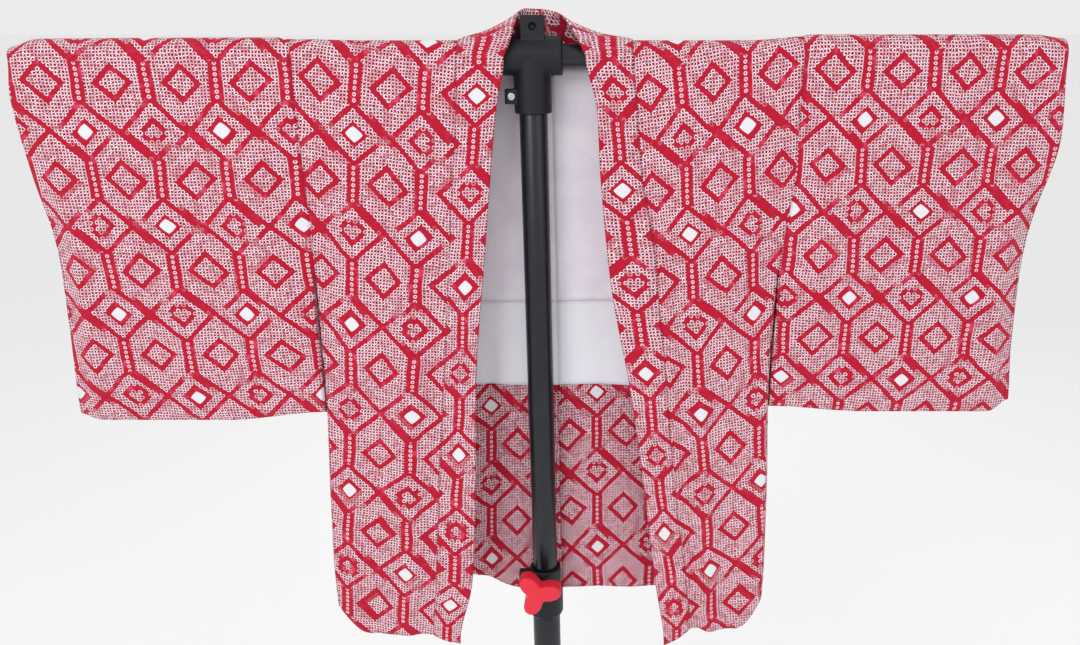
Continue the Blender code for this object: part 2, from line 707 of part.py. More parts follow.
def make_knob(materials):
    """A three-lobed hand knob on its screw, which turns about a line along Y."""
    bm = bmesh.new()
    outline = []
    for step in range(KNOB_STEPS):
        angle = math.tau * step / KNOB_STEPS
        radius = KNOB_MEAN_RADIUS + KNOB_LOBE * math.cos(3 * (angle - KNOB_TURN))
        outline.append(bm.verts.new((radius * math.cos(angle), 0.0, radius * math.sin(angle))))
    back = bm.faces.new(outline)
    front = bmesh.ops.extrude_face_region(bm, geom=[back])["geom"]
    moved = [thing for thing in front if isinstance(thing, bmesh.types.BMVert)]
    bmesh.ops.translate(bm, vec=(0.0, -KNOB_THICKNESS, 0.0), verts=moved)
    bmesh.ops.recalc_face_normals(bm, faces=bm.faces)
    bmesh.ops.translate(bm, vec=(KNOB_X, KNOB_BACK, KNOB_HEIGHT), verts=bm.verts)
    knob = add_object("clamp_knob", bm, materials["red"])
    rim = knob.modifiers.new("rounded_rim", "BEVEL")
    rim.width = KNOB_RIM
    rim.segments = 2
    rim.limit_method = "ANGLE"
    rim.angle_limit = math.radians(60)


def make_mast(materials):
    profile = (
        (0.0, UPPER_BOTTOM),
        (UPPER_RADIUS, UPPER_BOTTOM),
        (UPPER_RADIUS, UPPER_TOP),
        (0.0, UPPER_TOP),
    )
    turned("upper_tube", profile, materials["black"])
    bar = rod("crossbar", BAR_RADIUS, BAR_LEFT, BAR_RIGHT, materials["black"])
    lay_along(bar, ALONG_X, (0.0, 0.0, BAR_HEIGHT))


def make_tee(materials):
    """The T-shaped fitting: a sleeve on the bar, a socket on the mast, a drilled tab and a screw lug."""
    black, bar = materials["black"], Vector((0.0, 0.0, BAR_HEIGHT))
    tee = rod("tee_fitting", TEE_RADIUS, -TEE_HALF_WIDTH, TEE_HALF_WIDTH, black)
    lay_along(tee, ALONG_X, bar)
    socket_low = BAR_HEIGHT - TEE_SOCKET_DROP
    socket = rod("tee_socket_tool", TEE_SOCKET_RADIUS, socket_low, BAR_HEIGHT, black, TEE_SOCKET_CHAMFER)
    combine(tee, socket, "UNION")
    boxes = (
        ("tee_tab_tool", TAB_LOW, TAB_HIGH),
        ("tee_rib_tool", RIB_LOW, RIB_HIGH),
        ("tee_lug_tool", LUG_LOW, LUG_HIGH),
    )
    for name, low, high in boxes:
        combine(tee, block(name, bar + Vector(low), bar + Vector(high), black), "UNION")
    bar_bore = bore("tee_bar_bore_tool", BAR_RADIUS + FIT_GAP, -BAR_BORE_REACH, BAR_BORE_REACH, black)
    lay_along(bar_bore, ALONG_X, bar)
    bore_low, bore_high = BAR_HEIGHT - MAST_BORE_DROP, UPPER_TOP + SOFT_EDGE
    mast_bore = bore("tee_mast_bore_tool", UPPER_RADIUS + FIT_GAP, bore_low, bore_high, black)
    hole_end = 4 * TAB_HOLE_FLOOR
    hole = bore("tee_tab_hole_tool", TAB_HOLE_RADIUS, TAB_HOLE_FLOOR, hole_end, black, TAB_HOLE_STEPS)
    lay_along(hole, ALONG_MINUS_Y, bar + Vector(TAB_HOLE_CENTRE))
    for tool in (bar_bore, mast_bore, hole):
        combine(tee, tool, "DIFFERENCE", "MANIFOLD")
    screw = turned("tee_screw", SCREW_HEAD, materials["steel"], SCREW_STEPS)
    lay_along(screw, ALONG_MINUS_Y, bar + Vector(SCREW_PLACE))


def main():
    clear_scene()
    materials = {
        "shibori": make_material("red_shibori_silk", RED_SHIBORI, 0.75),
        "lining": make_material("lining_silk", LINING_SILK, 0.60),
        "band": make_material("band_silk", BAND_SILK, 0.55),
        "black": make_material("satin_black", SATIN_BLACK, 0.40),
        "red": make_material("knob_red", KNOB_RED, 0.35),
        "steel": make_material("bright_steel", BRIGHT_STEEL, 0.30, 1.0),
    }
    bodies = [(half, *make_body(half, materials)) for half in (LEFT, RIGHT)]
    make_collar(bodies, materials)
    for half in (LEFT, RIGHT):
        make_sleeve(half, materials)
    make_base(materials)
    make_clamp(materials)
    make_knob(materials)
    make_mast(materials)
    make_tee(materials)


main()
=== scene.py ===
"""Haori jacket hung open on a display stand: its cloth, finishes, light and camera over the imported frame.

Metres, +Z up, X along the crossbar and -Y out of the open front. Places on the cloth are given by
their drop, measured down from the crossbar's axis, and by their share across a panel, from the side
seam to the collar. Each sheet is a grid that one function drapes, and then a thin wall.
"""

import logging
import math
from dataclasses import dataclass
from enum import Enum
from typing import Callable, Optional, Sequence, Union

import bmesh
import bpy
from mathutils import Matrix, Vector


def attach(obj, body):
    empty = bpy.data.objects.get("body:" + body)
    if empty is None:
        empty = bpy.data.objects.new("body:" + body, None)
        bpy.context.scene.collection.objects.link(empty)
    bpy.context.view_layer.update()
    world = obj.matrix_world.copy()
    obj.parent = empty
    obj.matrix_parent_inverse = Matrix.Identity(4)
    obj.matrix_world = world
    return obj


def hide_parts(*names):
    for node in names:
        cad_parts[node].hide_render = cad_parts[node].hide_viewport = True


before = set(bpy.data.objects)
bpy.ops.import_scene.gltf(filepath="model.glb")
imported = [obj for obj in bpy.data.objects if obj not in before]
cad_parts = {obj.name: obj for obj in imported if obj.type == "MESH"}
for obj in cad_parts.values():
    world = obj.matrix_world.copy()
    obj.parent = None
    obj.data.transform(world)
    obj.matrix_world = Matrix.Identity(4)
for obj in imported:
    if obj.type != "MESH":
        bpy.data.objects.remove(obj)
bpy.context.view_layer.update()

LOG = logging.getLogger("haori")
Colour = tuple[float, float, float]
Outline = tuple[tuple[float, float], ...]
Span = tuple[float, float]
Point = tuple[float, float, float]
Box = tuple[Point, Point]
ClothPlace = tuple[float, float]
Drape = Callable[[float, float], Vector]
Chart = Callable[[Vector, float, float], ClothPlace]

CLOTH = 0.0012
LINING = 0.0010
BAND = 0.0022
SEAM_GAP = 0.0003
LAYER_GAP = 0.0004
BAR_HEIGHT = 1.5
OVER_BAR_RADIUS = 0.0190
REPEAT_ACROSS = 0.0835
REPEAT_DOWN = 0.1215
CLOTH_OVER_BAR = 0.06
LINING_OFFSET = CLOTH + LAYER_GAP + SEAM_GAP
JUST_INSIDE = 1e-9


class Body(Enum):
    """The rigid bodies that pieces ride on."""

    STAND = "stand_base"
    KNOB = "knob"
    MAST = "mast"


class Slot(Enum):
    """The record's material slots."""

    SHIBORI = "shibori_silk"
    LINING = "lining_silk"
    BAND = "band_silk"
    STEEL = "black_steel"
    PLASTIC = "black_plastic"
    RED = "red_plastic"
    SCREW = "bright_screw"


def blend(low: float, high: float, share: float) -> float:
    """The value a share of the way from low to high."""
    return low + (high - low) * share


def ease(share: float) -> float:
    """A smooth step from 0 to 1."""
    share = min(1.0, max(0.0, share))
    return share * share * (3.0 - 2.0 * share)


def bell(distance: float, width: float) -> float:
    """A soft ridge, 1 at its crest and near 0 a width and a half away."""
    return math.exp(-((distance / width) ** 2))


# ---------------------------------------------------------------------------- tables of the drape
@dataclass(frozen=True)
class Curve:
    """A named value at given places, joined by a smooth curve that doesn't overshoot."""

    places: tuple[float, ...]
    values: tuple[float, ...]

    def at(self, place: float) -> float:
        """The curve's value.

        Args:
            place: where to read it; past either end it stays at that end's value.

        Returns:
            The value there.
        """
        places, values = self.places, self.values
        if place <= places[0]:
            return values[0]
        if place >= places[-1]:
            return values[-1]
        row = next(index for index, high in enumerate(places[1:]) if place <= high)
        step = places[row + 1] - places[row]
        share = (place - places[row]) / step
        slopes = [self.slope(row) * step, self.slope(row + 1) * step]
        square, cube = share**2, share**3
        return (
            (2 * cube - 3 * square + 1) * values[row]
            + (cube - 2 * square + share) * slopes[0]
            + (3 * square - 2 * cube) * values[row + 1]
            + (cube - square) * slopes[1]
        )

    def slope(self, row: int) -> float:
        """The slope at one of the given places, flat at the ends and at a crest or trough.

        Args:
            row: which of the places.

        Returns:
            The slope there.
        """
        if row in (0, len(self.places) - 1):
            return 0.0
        before = (self.values[row] - self.values[row - 1]) / (self.places[row] - self.places[row - 1])
        after = (self.values[row + 1] - self.values[row]) / (self.places[row + 1] - self.places[row])
        return 0.0 if before * after <= 0 else 2 * before * after / (before + after)


DEPTH_DROPS = (0.00, 0.06, 0.14, 0.23, 0.30, 0.40, 0.47, 0.62, 0.82)
SIDE_DEPTH = Curve(DEPTH_DROPS, (0.0190, 0.0188, 0.0165, 0.0135, 0.0115, 0.0140, 0.0165, 0.0215, 0.0280))
FRONT_DEPTH = Curve(DEPTH_DROPS, (0.0190, 0.0215, 0.0235, 0.0255, 0.0275, 0.0290, 0.0300, 0.0320, 0.0350))
BACK_DEPTH = Curve(DEPTH_DROPS, (0.0190, 0.0290, 0.0310, 0.0320, 0.0325, 0.0330, 0.0335, 0.0345, 0.0365))
FURI_DEPTH = Curve(DEPTH_DROPS, (0.0190, 0.0188, 0.0165, 0.0135, 0.0110, 0.0100, 0.0090, 0.0090, 0.0090))
SLEEVE_DEPTH = Curve(DEPTH_DROPS, (0.0190, 0.0200, 0.0215, 0.0225, 0.0215, 0.0175, 0.0100, 0.0100, 0.0100))
CUFF_DEPTH = Curve((0.0, 0.06, 0.14, 0.23), (0.0190, 0.0180, 0.0130, 0.0022))
TOP_LINE = Curve(
    (-0.628, -0.598, -0.290, -0.200, 0.260, 0.340, 0.605, 0.646),
    (0.0100, 0.0185, 0.0200, 0.0185, 0.0185, 0.0235, 0.0235, 0.0190),
)


FLUTE_WANDER = 0.03
FLUTE_WAVES = 9.0
FLUTE_SHIFT = 40.0
FLUTE_GROWTH = 0.28


@dataclass(frozen=True)
class Flute:
    """A soft fold that runs down a panel.

    Args:
        across: where it starts, as a share across the panel.
        lean: how far it moves across by the hem, as a share.
        start: the drop at which it begins.
        width: half its width, in metres.
        height: how far it stands out at the hem, negative for a trough.
    """

    across: float
    lean: float
    start: float
    width: float
    height: float

    def lift(self, across: float, drop: float, panel_width: float) -> float:
        """How far the cloth stands out.

        Args:
            across: the share across the panel.
            drop: how far down.
            panel_width: the panel's width there.

        Returns:
            The height of the fold there, in metres.
        """
        wander = FLUTE_WANDER * math.sin(FLUTE_WAVES * drop + FLUTE_SHIFT * self.across)
        crest = self.across + self.lean * drop + wander
        grown = ease((drop - self.start) / FLUTE_GROWTH)
        return self.height * grown * bell((across - crest) * panel_width, self.width)


@dataclass(frozen=True)
class Print:
    """Where the dyed pattern lies on a piece: a white diamond, the repeat, and how it leans.

    Args:
        across: where that diamond is, along X.
        down: where it is, as a drop.
        pitch_across: the repeat across.
        pitch_down: the repeat down.
        lean: how far the columns move along X for each metre down.
        tilt: how far the rows move down for each metre along X.
    """

    across: float
    down: float
    pitch_across: float = REPEAT_ACROSS
    pitch_down: float = REPEAT_DOWN
    lean: float = 0.0
    tilt: float = 0.0

    def chart(self, x: float, drop: float) -> ClothPlace:
        """Lays the pattern on a piece.

        Args:
            x: a place along X.
            drop: its drop.

        Returns:
            Its cloth coordinates, in metres of the plain repeat.
        """
        right, down = x - self.across, drop - self.down
        u = (right - self.lean * down) * REPEAT_ACROSS / self.pitch_across
        v = (down - self.tilt * right) * REPEAT_DOWN / self.pitch_down
        return u, v


@dataclass(frozen=True)
class Half:
    """One half of the jacket: how its edges hang, its lengths, folds and pattern."""

    name: str
    sign: int
    side: Curve
    seam: Curve
    free: Curve
    neck_x: Curve
    neck_y: Curve
    neck_z: Curve
    cuff: Curve
    front_length: float
    tip_length: float
    sleeve_drop: float
    sleeve_inner_rise: float
    sleeve_corner: float
    front_folds: tuple[Flute, ...]
    back_folds: tuple[Flute, ...]
    front_print: Print
    sleeve_print: Print
    facing_print: Print
    back_rise: float
    corner_rise: float = 0.044


LEFT_DROPS = (0.0, 0.060, 0.110, 0.225, 0.420, 0.600, 0.720, 0.823)
RIGHT_DROPS = (0.0, 0.060, 0.140, 0.225, 0.300, 0.420, 0.600, 0.720, 0.828)
NECK_SHARES = (0.0, 0.22, 0.44, 0.67, 0.84, 1.0)
LEFT = Half(
    name="left",
    sign=-1,
    side=Curve(LEFT_DROPS, (-0.289, -0.289, -0.289, -0.288, -0.289, -0.297, -0.301, -0.300)),
    seam=Curve(LEFT_DROPS, (-0.088, -0.091, -0.096, -0.107, -0.125, -0.143, -0.153, -0.162)),
    free=Curve(LEFT_DROPS, (-0.031, -0.042, -0.049, -0.062, -0.083, -0.092, -0.102, -0.124)),
    neck_x=Curve(NECK_SHARES, (-0.031, -0.023, -0.018, -0.014, -0.005, 0.009)),
    neck_y=Curve(NECK_SHARES, (-0.032, -0.029, -0.018, 0.006, 0.024, 0.031)),
    neck_z=Curve(NECK_SHARES, (0.000, 0.017, 0.036, 0.049, 0.054, 0.054)),
    cuff=Curve((0.0, 0.05, 0.15, 0.25, 0.35, 0.48), (-0.626, -0.633, -0.628, -0.622, -0.627, -0.635)),
    front_length=0.812,
    tip_length=0.823,
    sleeve_drop=0.482,
    sleeve_inner_rise=0.012,
    sleeve_corner=0.010,
    front_folds=(
        Flute(0.16, 0.05, 0.18, 0.018, 0.0045),
        Flute(0.42, -0.04, 0.26, 0.024, -0.0045),
        Flute(0.66, 0.10, 0.10, 0.020, 0.0042),
        Flute(0.88, 0.00, 0.06, 0.012, -0.0040),
    ),
    back_folds=(
        Flute(0.20, 0.08, 0.10, 0.030, 0.0040),
        Flute(0.48, -0.10, 0.22, 0.026, -0.0035),
        Flute(0.70, -0.04, 0.28, 0.015, 0.0065),
        Flute(0.86, 0.02, 0.10, 0.030, -0.0030),
    ),
    front_print=Print(-0.219, 0.092, 0.0845, 0.1226, -0.102, 0.108),
    sleeve_print=Print(-0.464, 0.206, 0.0840, 0.1180),
    facing_print=Print(-0.074, 0.478, 0.0780, 0.1250, -0.04, -0.10),
    back_rise=0.024,
)
RIGHT = Half(
    name="right",
    sign=1,
    side=Curve(RIGHT_DROPS, (0.328, 0.328, 0.328, 0.319, 0.311, 0.308, 0.313, 0.314, 0.311)),
    seam=Curve(RIGHT_DROPS, (0.122, 0.127, 0.133, 0.149, 0.157, 0.169, 0.187, 0.203, 0.211)),
    free=Curve(RIGHT_DROPS, (0.066, 0.079, 0.083, 0.090, 0.099, 0.121, 0.146, 0.160, 0.174)),
    neck_x=Curve(NECK_SHARES, (0.066, 0.059, 0.052, 0.040, 0.026, 0.009)),
    neck_y=Curve(NECK_SHARES, (-0.032, -0.028, -0.018, 0.004, 0.023, 0.031)),
    neck_z=Curve(NECK_SHARES, (0.000, 0.015, 0.028, 0.042, 0.050, 0.054)),
    cuff=Curve((0.0, 0.10, 0.19, 0.27, 0.37, 0.47), (0.643, 0.651, 0.637, 0.631, 0.634, 0.642)),
    front_length=0.804,
    tip_length=0.828,
    sleeve_drop=0.469,
    sleeve_inner_rise=0.008,
    sleeve_corner=0.018,
    front_folds=(
        Flute(0.14, 0.04, 0.25, 0.018, 0.0030),
        Flute(0.40, 0.10, 0.32, 0.022, -0.0030),
        Flute(0.66, 0.06, 0.16, 0.013, 0.0075),
        Flute(0.83, 0.03, 0.14, 0.011, -0.0070),
    ),
    back_folds=(
        Flute(0.24, 0.02, 0.14, 0.028, 0.0038),
        Flute(0.55, 0.10, 0.20, 0.030, -0.0032),
        Flute(0.84, -0.06, 0.08, 0.026, 0.0028),
    ),
    front_print=Print(0.196, 0.216, 0.0790, 0.1228, 0.085, -0.170),
    sleeve_print=Print(0.486, 0.187, 0.0800, 0.1140),
    facing_print=Print(0.076, 0.456, 0.0780, 0.1250, 0.0, -0.10),
    back_rise=0.004,
)
BACK_SEAM_X = 0.0215
BACK_LENGTH = 0.777
BACK_SIDE_RISE = 0.013
HEM_LEVEL_FROM = 0.82
HEM_RISE_REACH = 0.30
EDGE_TUCK = 0.0020
EDGE_TUCK_WIDTH = 0.0040
NECK_DEPTH = 0.0310
CORNER_REACH = 0.35
SIDE_CURVE_REACH = 0.070
FURI_SLIT = 0.0050
ARM_SEAM_DROP = 0.225
CUFF_TAPER = 0.89
GUSSET_TOP = 0.37
LINING_TOP = 0.02
BAND_TOP = 0.412
FACING_TOP = 0.57
PANEL_FILL = 0.82
GUSSET_CUT = (0.064, 0.52)
COLLAR_CUT = (0.055, 1.90)
SLEEVE_CUT = (0.33, 1.02)
SLEEVE_LINING_CUT = (0.29, 1.0)


# ---------------------------------------------------------------------------- shader maths
class Value:
    """A number that varies over a surface. Arithmetic on it adds Math nodes."""

    def __init__(self, graph: "Graph", socket: bpy.types.NodeSocket) -> None:
        """Wraps a node's output in its graph."""
        self.graph = graph
        self.socket = socket

    def math(self, operation: str, *others: Union["Value", float]) -> "Value":
        """One Math node on this value and up to two others."""
        inputs = {0: self, **{place: other for place, other in enumerate(others, 1)}}
        return self.graph.value("ShaderNodeMath", {"operation": operation}, inputs)

    def __add__(self, other: Union["Value", float]) -> "Value":
        """The sum."""
        return self.math("ADD", other)

    def __sub__(self, other: Union["Value", float]) -> "Value":
        """The difference."""
        return self.math("SUBTRACT", other)

    def __rsub__(self, other: float) -> "Value":
        """A number less this value."""
        return self.graph.value("ShaderNodeMath", {"operation": "SUBTRACT"}, {0: other, 1: self})

    def __mul__(self, other: Union["Value", float]) -> "Value":
        """The product."""
        return self.math("MULTIPLY", other)

    def __truediv__(self, other: float) -> "Value":
        """The quotient."""
        return self.math("DIVIDE", other)

    __radd__ = __add__
    __rmul__ = __mul__

    def size(self) -> "Value":
        """Its size without its sign."""
        return self.math("ABSOLUTE")

    def rises(self, start: float, end: float) -> "Value":
        """0 below start and 1 above end, smooth between them."""
        inputs = {"Value": self, "From Min": start, "From Max": end}
        return self.graph.value("ShaderNodeMapRange", {"interpolation_type": "SMOOTHSTEP"}, inputs)

    def falls(self, start: float, end: float) -> "Value":
        """1 below start and 0 above end, smooth between them."""
        return 1.0 - self.rises(start, end)


Feed = Union[Value, float, Sequence[float], bpy.types.NodeSocket]


class Graph:
    """A material and its nodes."""

    def __init__(self, name: str) -> None:
        """Starts a material with its shader and the coordinates that its patterns read.

        Args:
            name: the material's name.
        """
        self.material = bpy.data.materials.new(name)
        self.material.use_nodes = True
        self.tree = self.material.node_tree
        self.shader = self.tree.nodes["Principled BSDF"]
        coordinates = self.tree.nodes.new("ShaderNodeTexCoord")
        self.cloth, self.object = coordinates.outputs["UV"], coordinates.outputs["Object"]

    def node(
        self, kind: str, settings: Optional[dict] = None, inputs: Optional[dict] = None
    ) -> bpy.types.Node:
        """Adds a node.

        Args:
            kind: the node's type.
            settings: attributes set before anything is linked.
            inputs: values or links by socket name or index.

        Returns:
            The new node.
        """
        made = self.tree.nodes.new(kind)
        for name, setting in (settings or {}).items():
            setattr(made, name, setting)
        for name, source in (inputs or {}).items():
            self.feed(made.inputs[name], source)
        return made

    def feed(self, socket: bpy.types.NodeSocket, source: Feed) -> None:
        """Links a socket, or sets its constant.

        Args:
            socket: the input to feed.
            source: a varying value or socket to link, or the constant to set.
        """
        if isinstance(source, Value):
            self.tree.links.new(source.socket, socket)
        elif isinstance(source, bpy.types.NodeSocket):
            self.tree.links.new(source, socket)
        elif isinstance(source, (int, float)):
            socket.default_value = source
        else:
            wanted = len(socket.default_value)
            socket.default_value = (*source, 1.0)[:wanted]

    def value(self, kind: str, settings: Optional[dict] = None, inputs: Optional[dict] = None) -> Value:
        """Adds a node and returns its first output as a number."""
        return Value(self, self.node(kind, settings, inputs).outputs[0])

    def tint(self, factor: Feed, low: Feed, high: Feed) -> bpy.types.NodeSocket:
        """A mix of two colours."""
        made = self.node("ShaderNodeMix", {"data_type": "RGBA"}, {0: factor, 6: low, 7: high})
        return made.outputs[2]

    def noise(self, where: Feed, scale: float, detail: float) -> Value:
        """Cloudy noise at a place, from 0 to 1."""
        return self.value("ShaderNodeTexNoise", None, {"Vector": where, "Scale": scale, "Detail": detail})

    def nudged(self, place: Feed, scale: float, detail: float, reach: float) -> bpy.types.NodeSocket:
        """A place moved a little by a noise's colour.

        Args:
            place: the place to move.
            scale: the noise's scale, per metre of cloth.
            detail: the noise's detail.
            reach: how wide the noise's swing is, in metres.

        Returns:
            The moved place.
        """
        where = {"Vector": self.cloth, "Scale": scale, "Detail": detail}
        colour = self.node("ShaderNodeTexNoise", None, where).outputs["Color"]
        centred = self.vector("SUBTRACT", {0: colour, 1: (0.5, 0.5, 0.5)})
        return self.vector("ADD", {0: place, 1: self.vector("SCALE", {0: centred, "Scale": reach})})

    def vector(self, operation: str, inputs: dict) -> bpy.types.NodeSocket:
        """One Vector Math node."""
        return self.node("ShaderNodeVectorMath", {"operation": operation}, inputs).outputs[0]

    def split(self, place: Feed) -> tuple[Value, Value]:
        """The first two coordinates of a place."""
        parts = self.node("ShaderNodeSeparateXYZ", None, {0: place})
        return Value(self, parts.outputs[0]), Value(self, parts.outputs[1])

    def shade(self, **sources: Feed) -> None:
        """Sets or links the shader's sockets, named with _ for each space."""
        for name, source in sources.items():
            self.feed(self.shader.inputs[name.replace("_", " ")], source)

    def bump(self, height: Value, distance: float) -> None:
        """Feeds a height to the shader's normal."""
        made = self.node("ShaderNodeBump", None, {"Strength": 1.0, "Distance": distance, "Height": height})
        self.tree.links.new(made.outputs["Normal"], self.shader.inputs["Normal"])


# ---------------------------------------------------------------------------- finishes
class Motif:
    """A place in the pattern's repeat, and how the cloth is tied and dyed there."""

    def __init__(self, silk: "ShiboriSilk", u: Value, v: Value) -> None:
        """Folds a place into the repeat.

        Args:
            silk: the finish that holds the pattern's sizes.
            u: cloth coordinate across, 0 at a white spot.
            v: cloth coordinate down, 0 at a white spot.
        """
        self.silk, self.v = silk, v
        columns, rows = u / REPEAT_ACROSS, v / REPEAT_DOWN
        self.x = columns.math("PINGPONG", 0.5) * REPEAT_ACROSS
        self.y = rows.math("PINGPONG", 0.5) * REPEAT_DOWN
        self.turn = (columns.math("ROUND") + rows.math("ROUND")).math("PINGPONG", 1.0)
        self.from_spot = self.x + self.y
        self.radius = (self.x * self.x + self.y * self.y).math("SQRT")
        side_x, side_y = ((place + 0.5).math("FLOORED_MODULO", 1.0) - 0.5 for place in (columns, rows))
        self.thin = (side_x * side_y).rises(-0.0001, 0.0001)

    def dyed(self) -> Value:
        """The lines, diamonds, squares and broken rings that are left untied.

        Returns:
            1 on them and 0 elsewhere.
        """
        silk, half, rise = self.silk, REPEAT_ACROSS / 2, self.silk.bar_start
        length = math.hypot(rise, half)
        from_line = ((self.x * (rise / length) + self.y * (half / length)) - half * rise / length).size()
        reach = silk.line_thick - self.thin * (silk.line_thick - silk.line_thin)
        lattice = (from_line - reach).falls(-silk.line_edge, silk.line_edge)
        from_diamond = (half - self.x) + (REPEAT_DOWN / 2 - self.y)
        diamond = from_diamond.rises(*silk.diamond_inner) * from_diamond.falls(*silk.diamond_outer)
        square = self.from_spot.falls(*silk.square_edge) * (1.0 - self.turn)
        broken = self.radius.rises(*silk.broken_inner) * self.radius.falls(*silk.broken_outer) * self.turn
        return lattice.math("MAXIMUM", diamond).math("MAXIMUM", square).math("MAXIMUM", broken)

    def bar(self) -> Value:
        """1 in the upright bars, which hold a column of small rings."""
        silk = self.silk
        return self.x.falls(*silk.bar_edge) * self.y.rises(silk.bar_start - silk.bar_foot, silk.bar_start)

    def beads(self) -> tuple[Value, Value]:
        """The small rings of the bars.

        Returns:
            How much ring there is, and how much of the pit in it.
        """
        silk = self.silk
        step = ((self.v / silk.bead_pitch + 0.5).math("FLOORED_MODULO", 1.0) - 0.5) * silk.bead_pitch
        reach = (self.x * self.x + step * step).math("SQRT")
        here = self.y.rises(silk.bar_start, silk.bar_start + silk.bead_start)
        ring = (reach - silk.bead_radius).size().falls(*silk.bead_edge) * here * silk.bead_light
        return ring, reach.falls(*silk.bead_pit) * here

    def spot(self) -> Value:
        """The bare white spot, a square with rounded corners.

        Returns:
            1 on it and 0 elsewhere.
        """
        roundness, squareness = self.silk.spot_shape
        reach = self.radius * roundness + self.from_spot * squareness + self.turn
        return reach.falls(*self.silk.spot_edge)


@dataclass(frozen=True)
class ShiboriSilk:
    """Red crepe silk tied and dyed in rings that draw hexagons and diamonds.

    The repeat is a hexagon round a plain diamond, an upright bar with a column of small rings down its
    middle, and a diamond between four hexagons that holds a bare white spot or a broken ring by turns.
    Knotted rings fill the rest. An edge, a start or a width is in metres of cloth, a knotted ring's own
    sizes are shares of its cell, and an edge is the two distances between which it fades. A noise is its
    scale, its detail and, where it moves the pattern, how wide its swing is. A ring's light is its
    least brightness and how much more it may have.
    """

    name: str = "red_shibori_silk"
    red: Colour = (0.47, 0.003, 0.026)
    ring: Colour = (0.96, 0.79, 0.87)
    pit: Colour = (0.16, 0.002, 0.012)
    gap: Colour = (0.38, 0.004, 0.032)
    faded: Colour = (0.72, 0.065, 0.15)
    spot: Colour = (0.80, 0.80, 0.84)
    spot_shade: Colour = (0.70, 0.70, 0.76)
    ring_pitch: float = 0.0058
    ring_radius: float = 0.36
    ring_edge: Span = (0.060, 0.150)
    ring_light: Span = (0.58, 0.56)
    pit_edge: Span = (0.12, 0.26)
    bead_pitch: float = 0.0068
    bead_radius: float = 0.0017
    bead_edge: Span = (0.0004, 0.0010)
    bead_pit: Span = (0.0005, 0.0010)
    bead_light: float = 0.86
    bead_start: float = 0.002
    bar_start: float = REPEAT_DOWN / 2 - 0.0235
    bar_foot: float = 0.003
    bar_edge: Span = (0.0078, 0.0088)
    line_thick: float = 0.0042
    line_thin: float = 0.0027
    line_edge: float = 0.0004
    diamond_inner: Span = (0.0165, 0.0170)
    diamond_outer: Span = (0.0258, 0.0263)
    square_edge: Span = (0.0182, 0.0188)
    broken_inner: Span = (0.0084, 0.0090)
    broken_outer: Span = (0.0150, 0.0158)
    spot_shape: Span = (0.35, 0.72)
    spot_edge: Span = (0.0106, 0.0113)
    drift: Point = (17.0, 2.0, 0.0085)
    shake: Point = (210.0, 1.0, 0.0026)
    cloud: Span = (75.0, 3.0)
    streak: Span = (420.0, 2.0)

    def knots(self, graph: Graph, here: Motif, moved: bpy.types.NodeSocket) -> tuple[Value, Value, Value]:
        """The tied rings, one in each cell of a slanted net.

        Args:
            graph: the material's nodes.
            here: the place's motif, which keeps the rings out of the bars.
            moved: the place on the cloth, after the pattern's slow drift.

        Returns:
            How much ring there is, how much pit, and 1 where the cloth is tied at all.
        """
        u, v = graph.split(graph.nudged(moved, *self.shake))
        scale = 1.0 / (self.ring_pitch * math.sqrt(2.0))
        along, beside = (u + v) * scale, (v - u) * scale
        whole_along, whole_beside = along.math("FLOOR") + 0.5, beside.math("FLOOR") + 0.5
        off_along, off_beside = along - whole_along, beside - whole_beside
        reach = (off_along * off_along + off_beside * off_beside).math("SQRT")
        centre_u = (whole_along - whole_beside) * (0.5 / scale)
        centre_v = (whole_along + whole_beside) * (0.5 / scale)
        tied = (1.0 - Motif(self, centre_u, centre_v).dyed()) * (1.0 - here.bar())
        cell = graph.node("ShaderNodeCombineXYZ", None, {0: whole_along, 1: whole_beside})
        chance = {"noise_dimensions": "2D"}
        luck = graph.value("ShaderNodeTexWhiteNoise", chance, {"Vector": cell.outputs[0]})
        least, more = self.ring_light
        light = least + luck.rises(0.0, 0.7) * more
        ring = (reach - self.ring_radius).size().falls(*self.ring_edge) * tied * light
        return ring, reach.falls(*self.pit_edge) * tied, tied

    def material(self) -> bpy.types.Material:
        """Builds the material on the UV map, which is in metres of cloth.

        Returns:
            The new material.
        """
        graph = Graph(self.name)
        moved = graph.nudged(graph.cloth, *self.drift)
        here = Motif(self, *graph.split(moved))
        ring, pit, tied = self.knots(graph, here, moved)
        bead_ring, bead_pit = here.beads()
        cloudy = graph.noise(graph.cloth, *self.cloud)
        streaky = graph.noise(graph.cloth, *self.streak)
        faded = cloudy.rises(0.50, 0.72) * (0.25 + here.thin * 0.6)
        between = graph.tint(tied, graph.tint(faded, self.red, self.faded), self.gap)
        rings = ring.math("MAXIMUM", bead_ring) * (0.80 + streaky * 0.35)
        dotted = graph.tint(rings.math("MINIMUM", 1.0), between, self.ring)
        pitted = graph.tint(pit.math("MAXIMUM", bead_pit) * 0.92, dotted, self.pit)
        bare = graph.tint(streaky.rises(0.3, 0.8) * 0.4, self.spot, self.spot_shade)
        graph.shade(
            Base_Color=graph.tint(here.spot(), pitted, bare),
            Roughness=0.68 + cloudy * 0.20 - rings * 0.08,
            Sheen_Weight=0.06,
            Sheen_Roughness=0.5,
            Specular_IOR_Level=0.22,
        )
        graph.bump(rings * 0.8 - pit * 0.6 + cloudy * 0.6, 0.0004)
        return graph.material


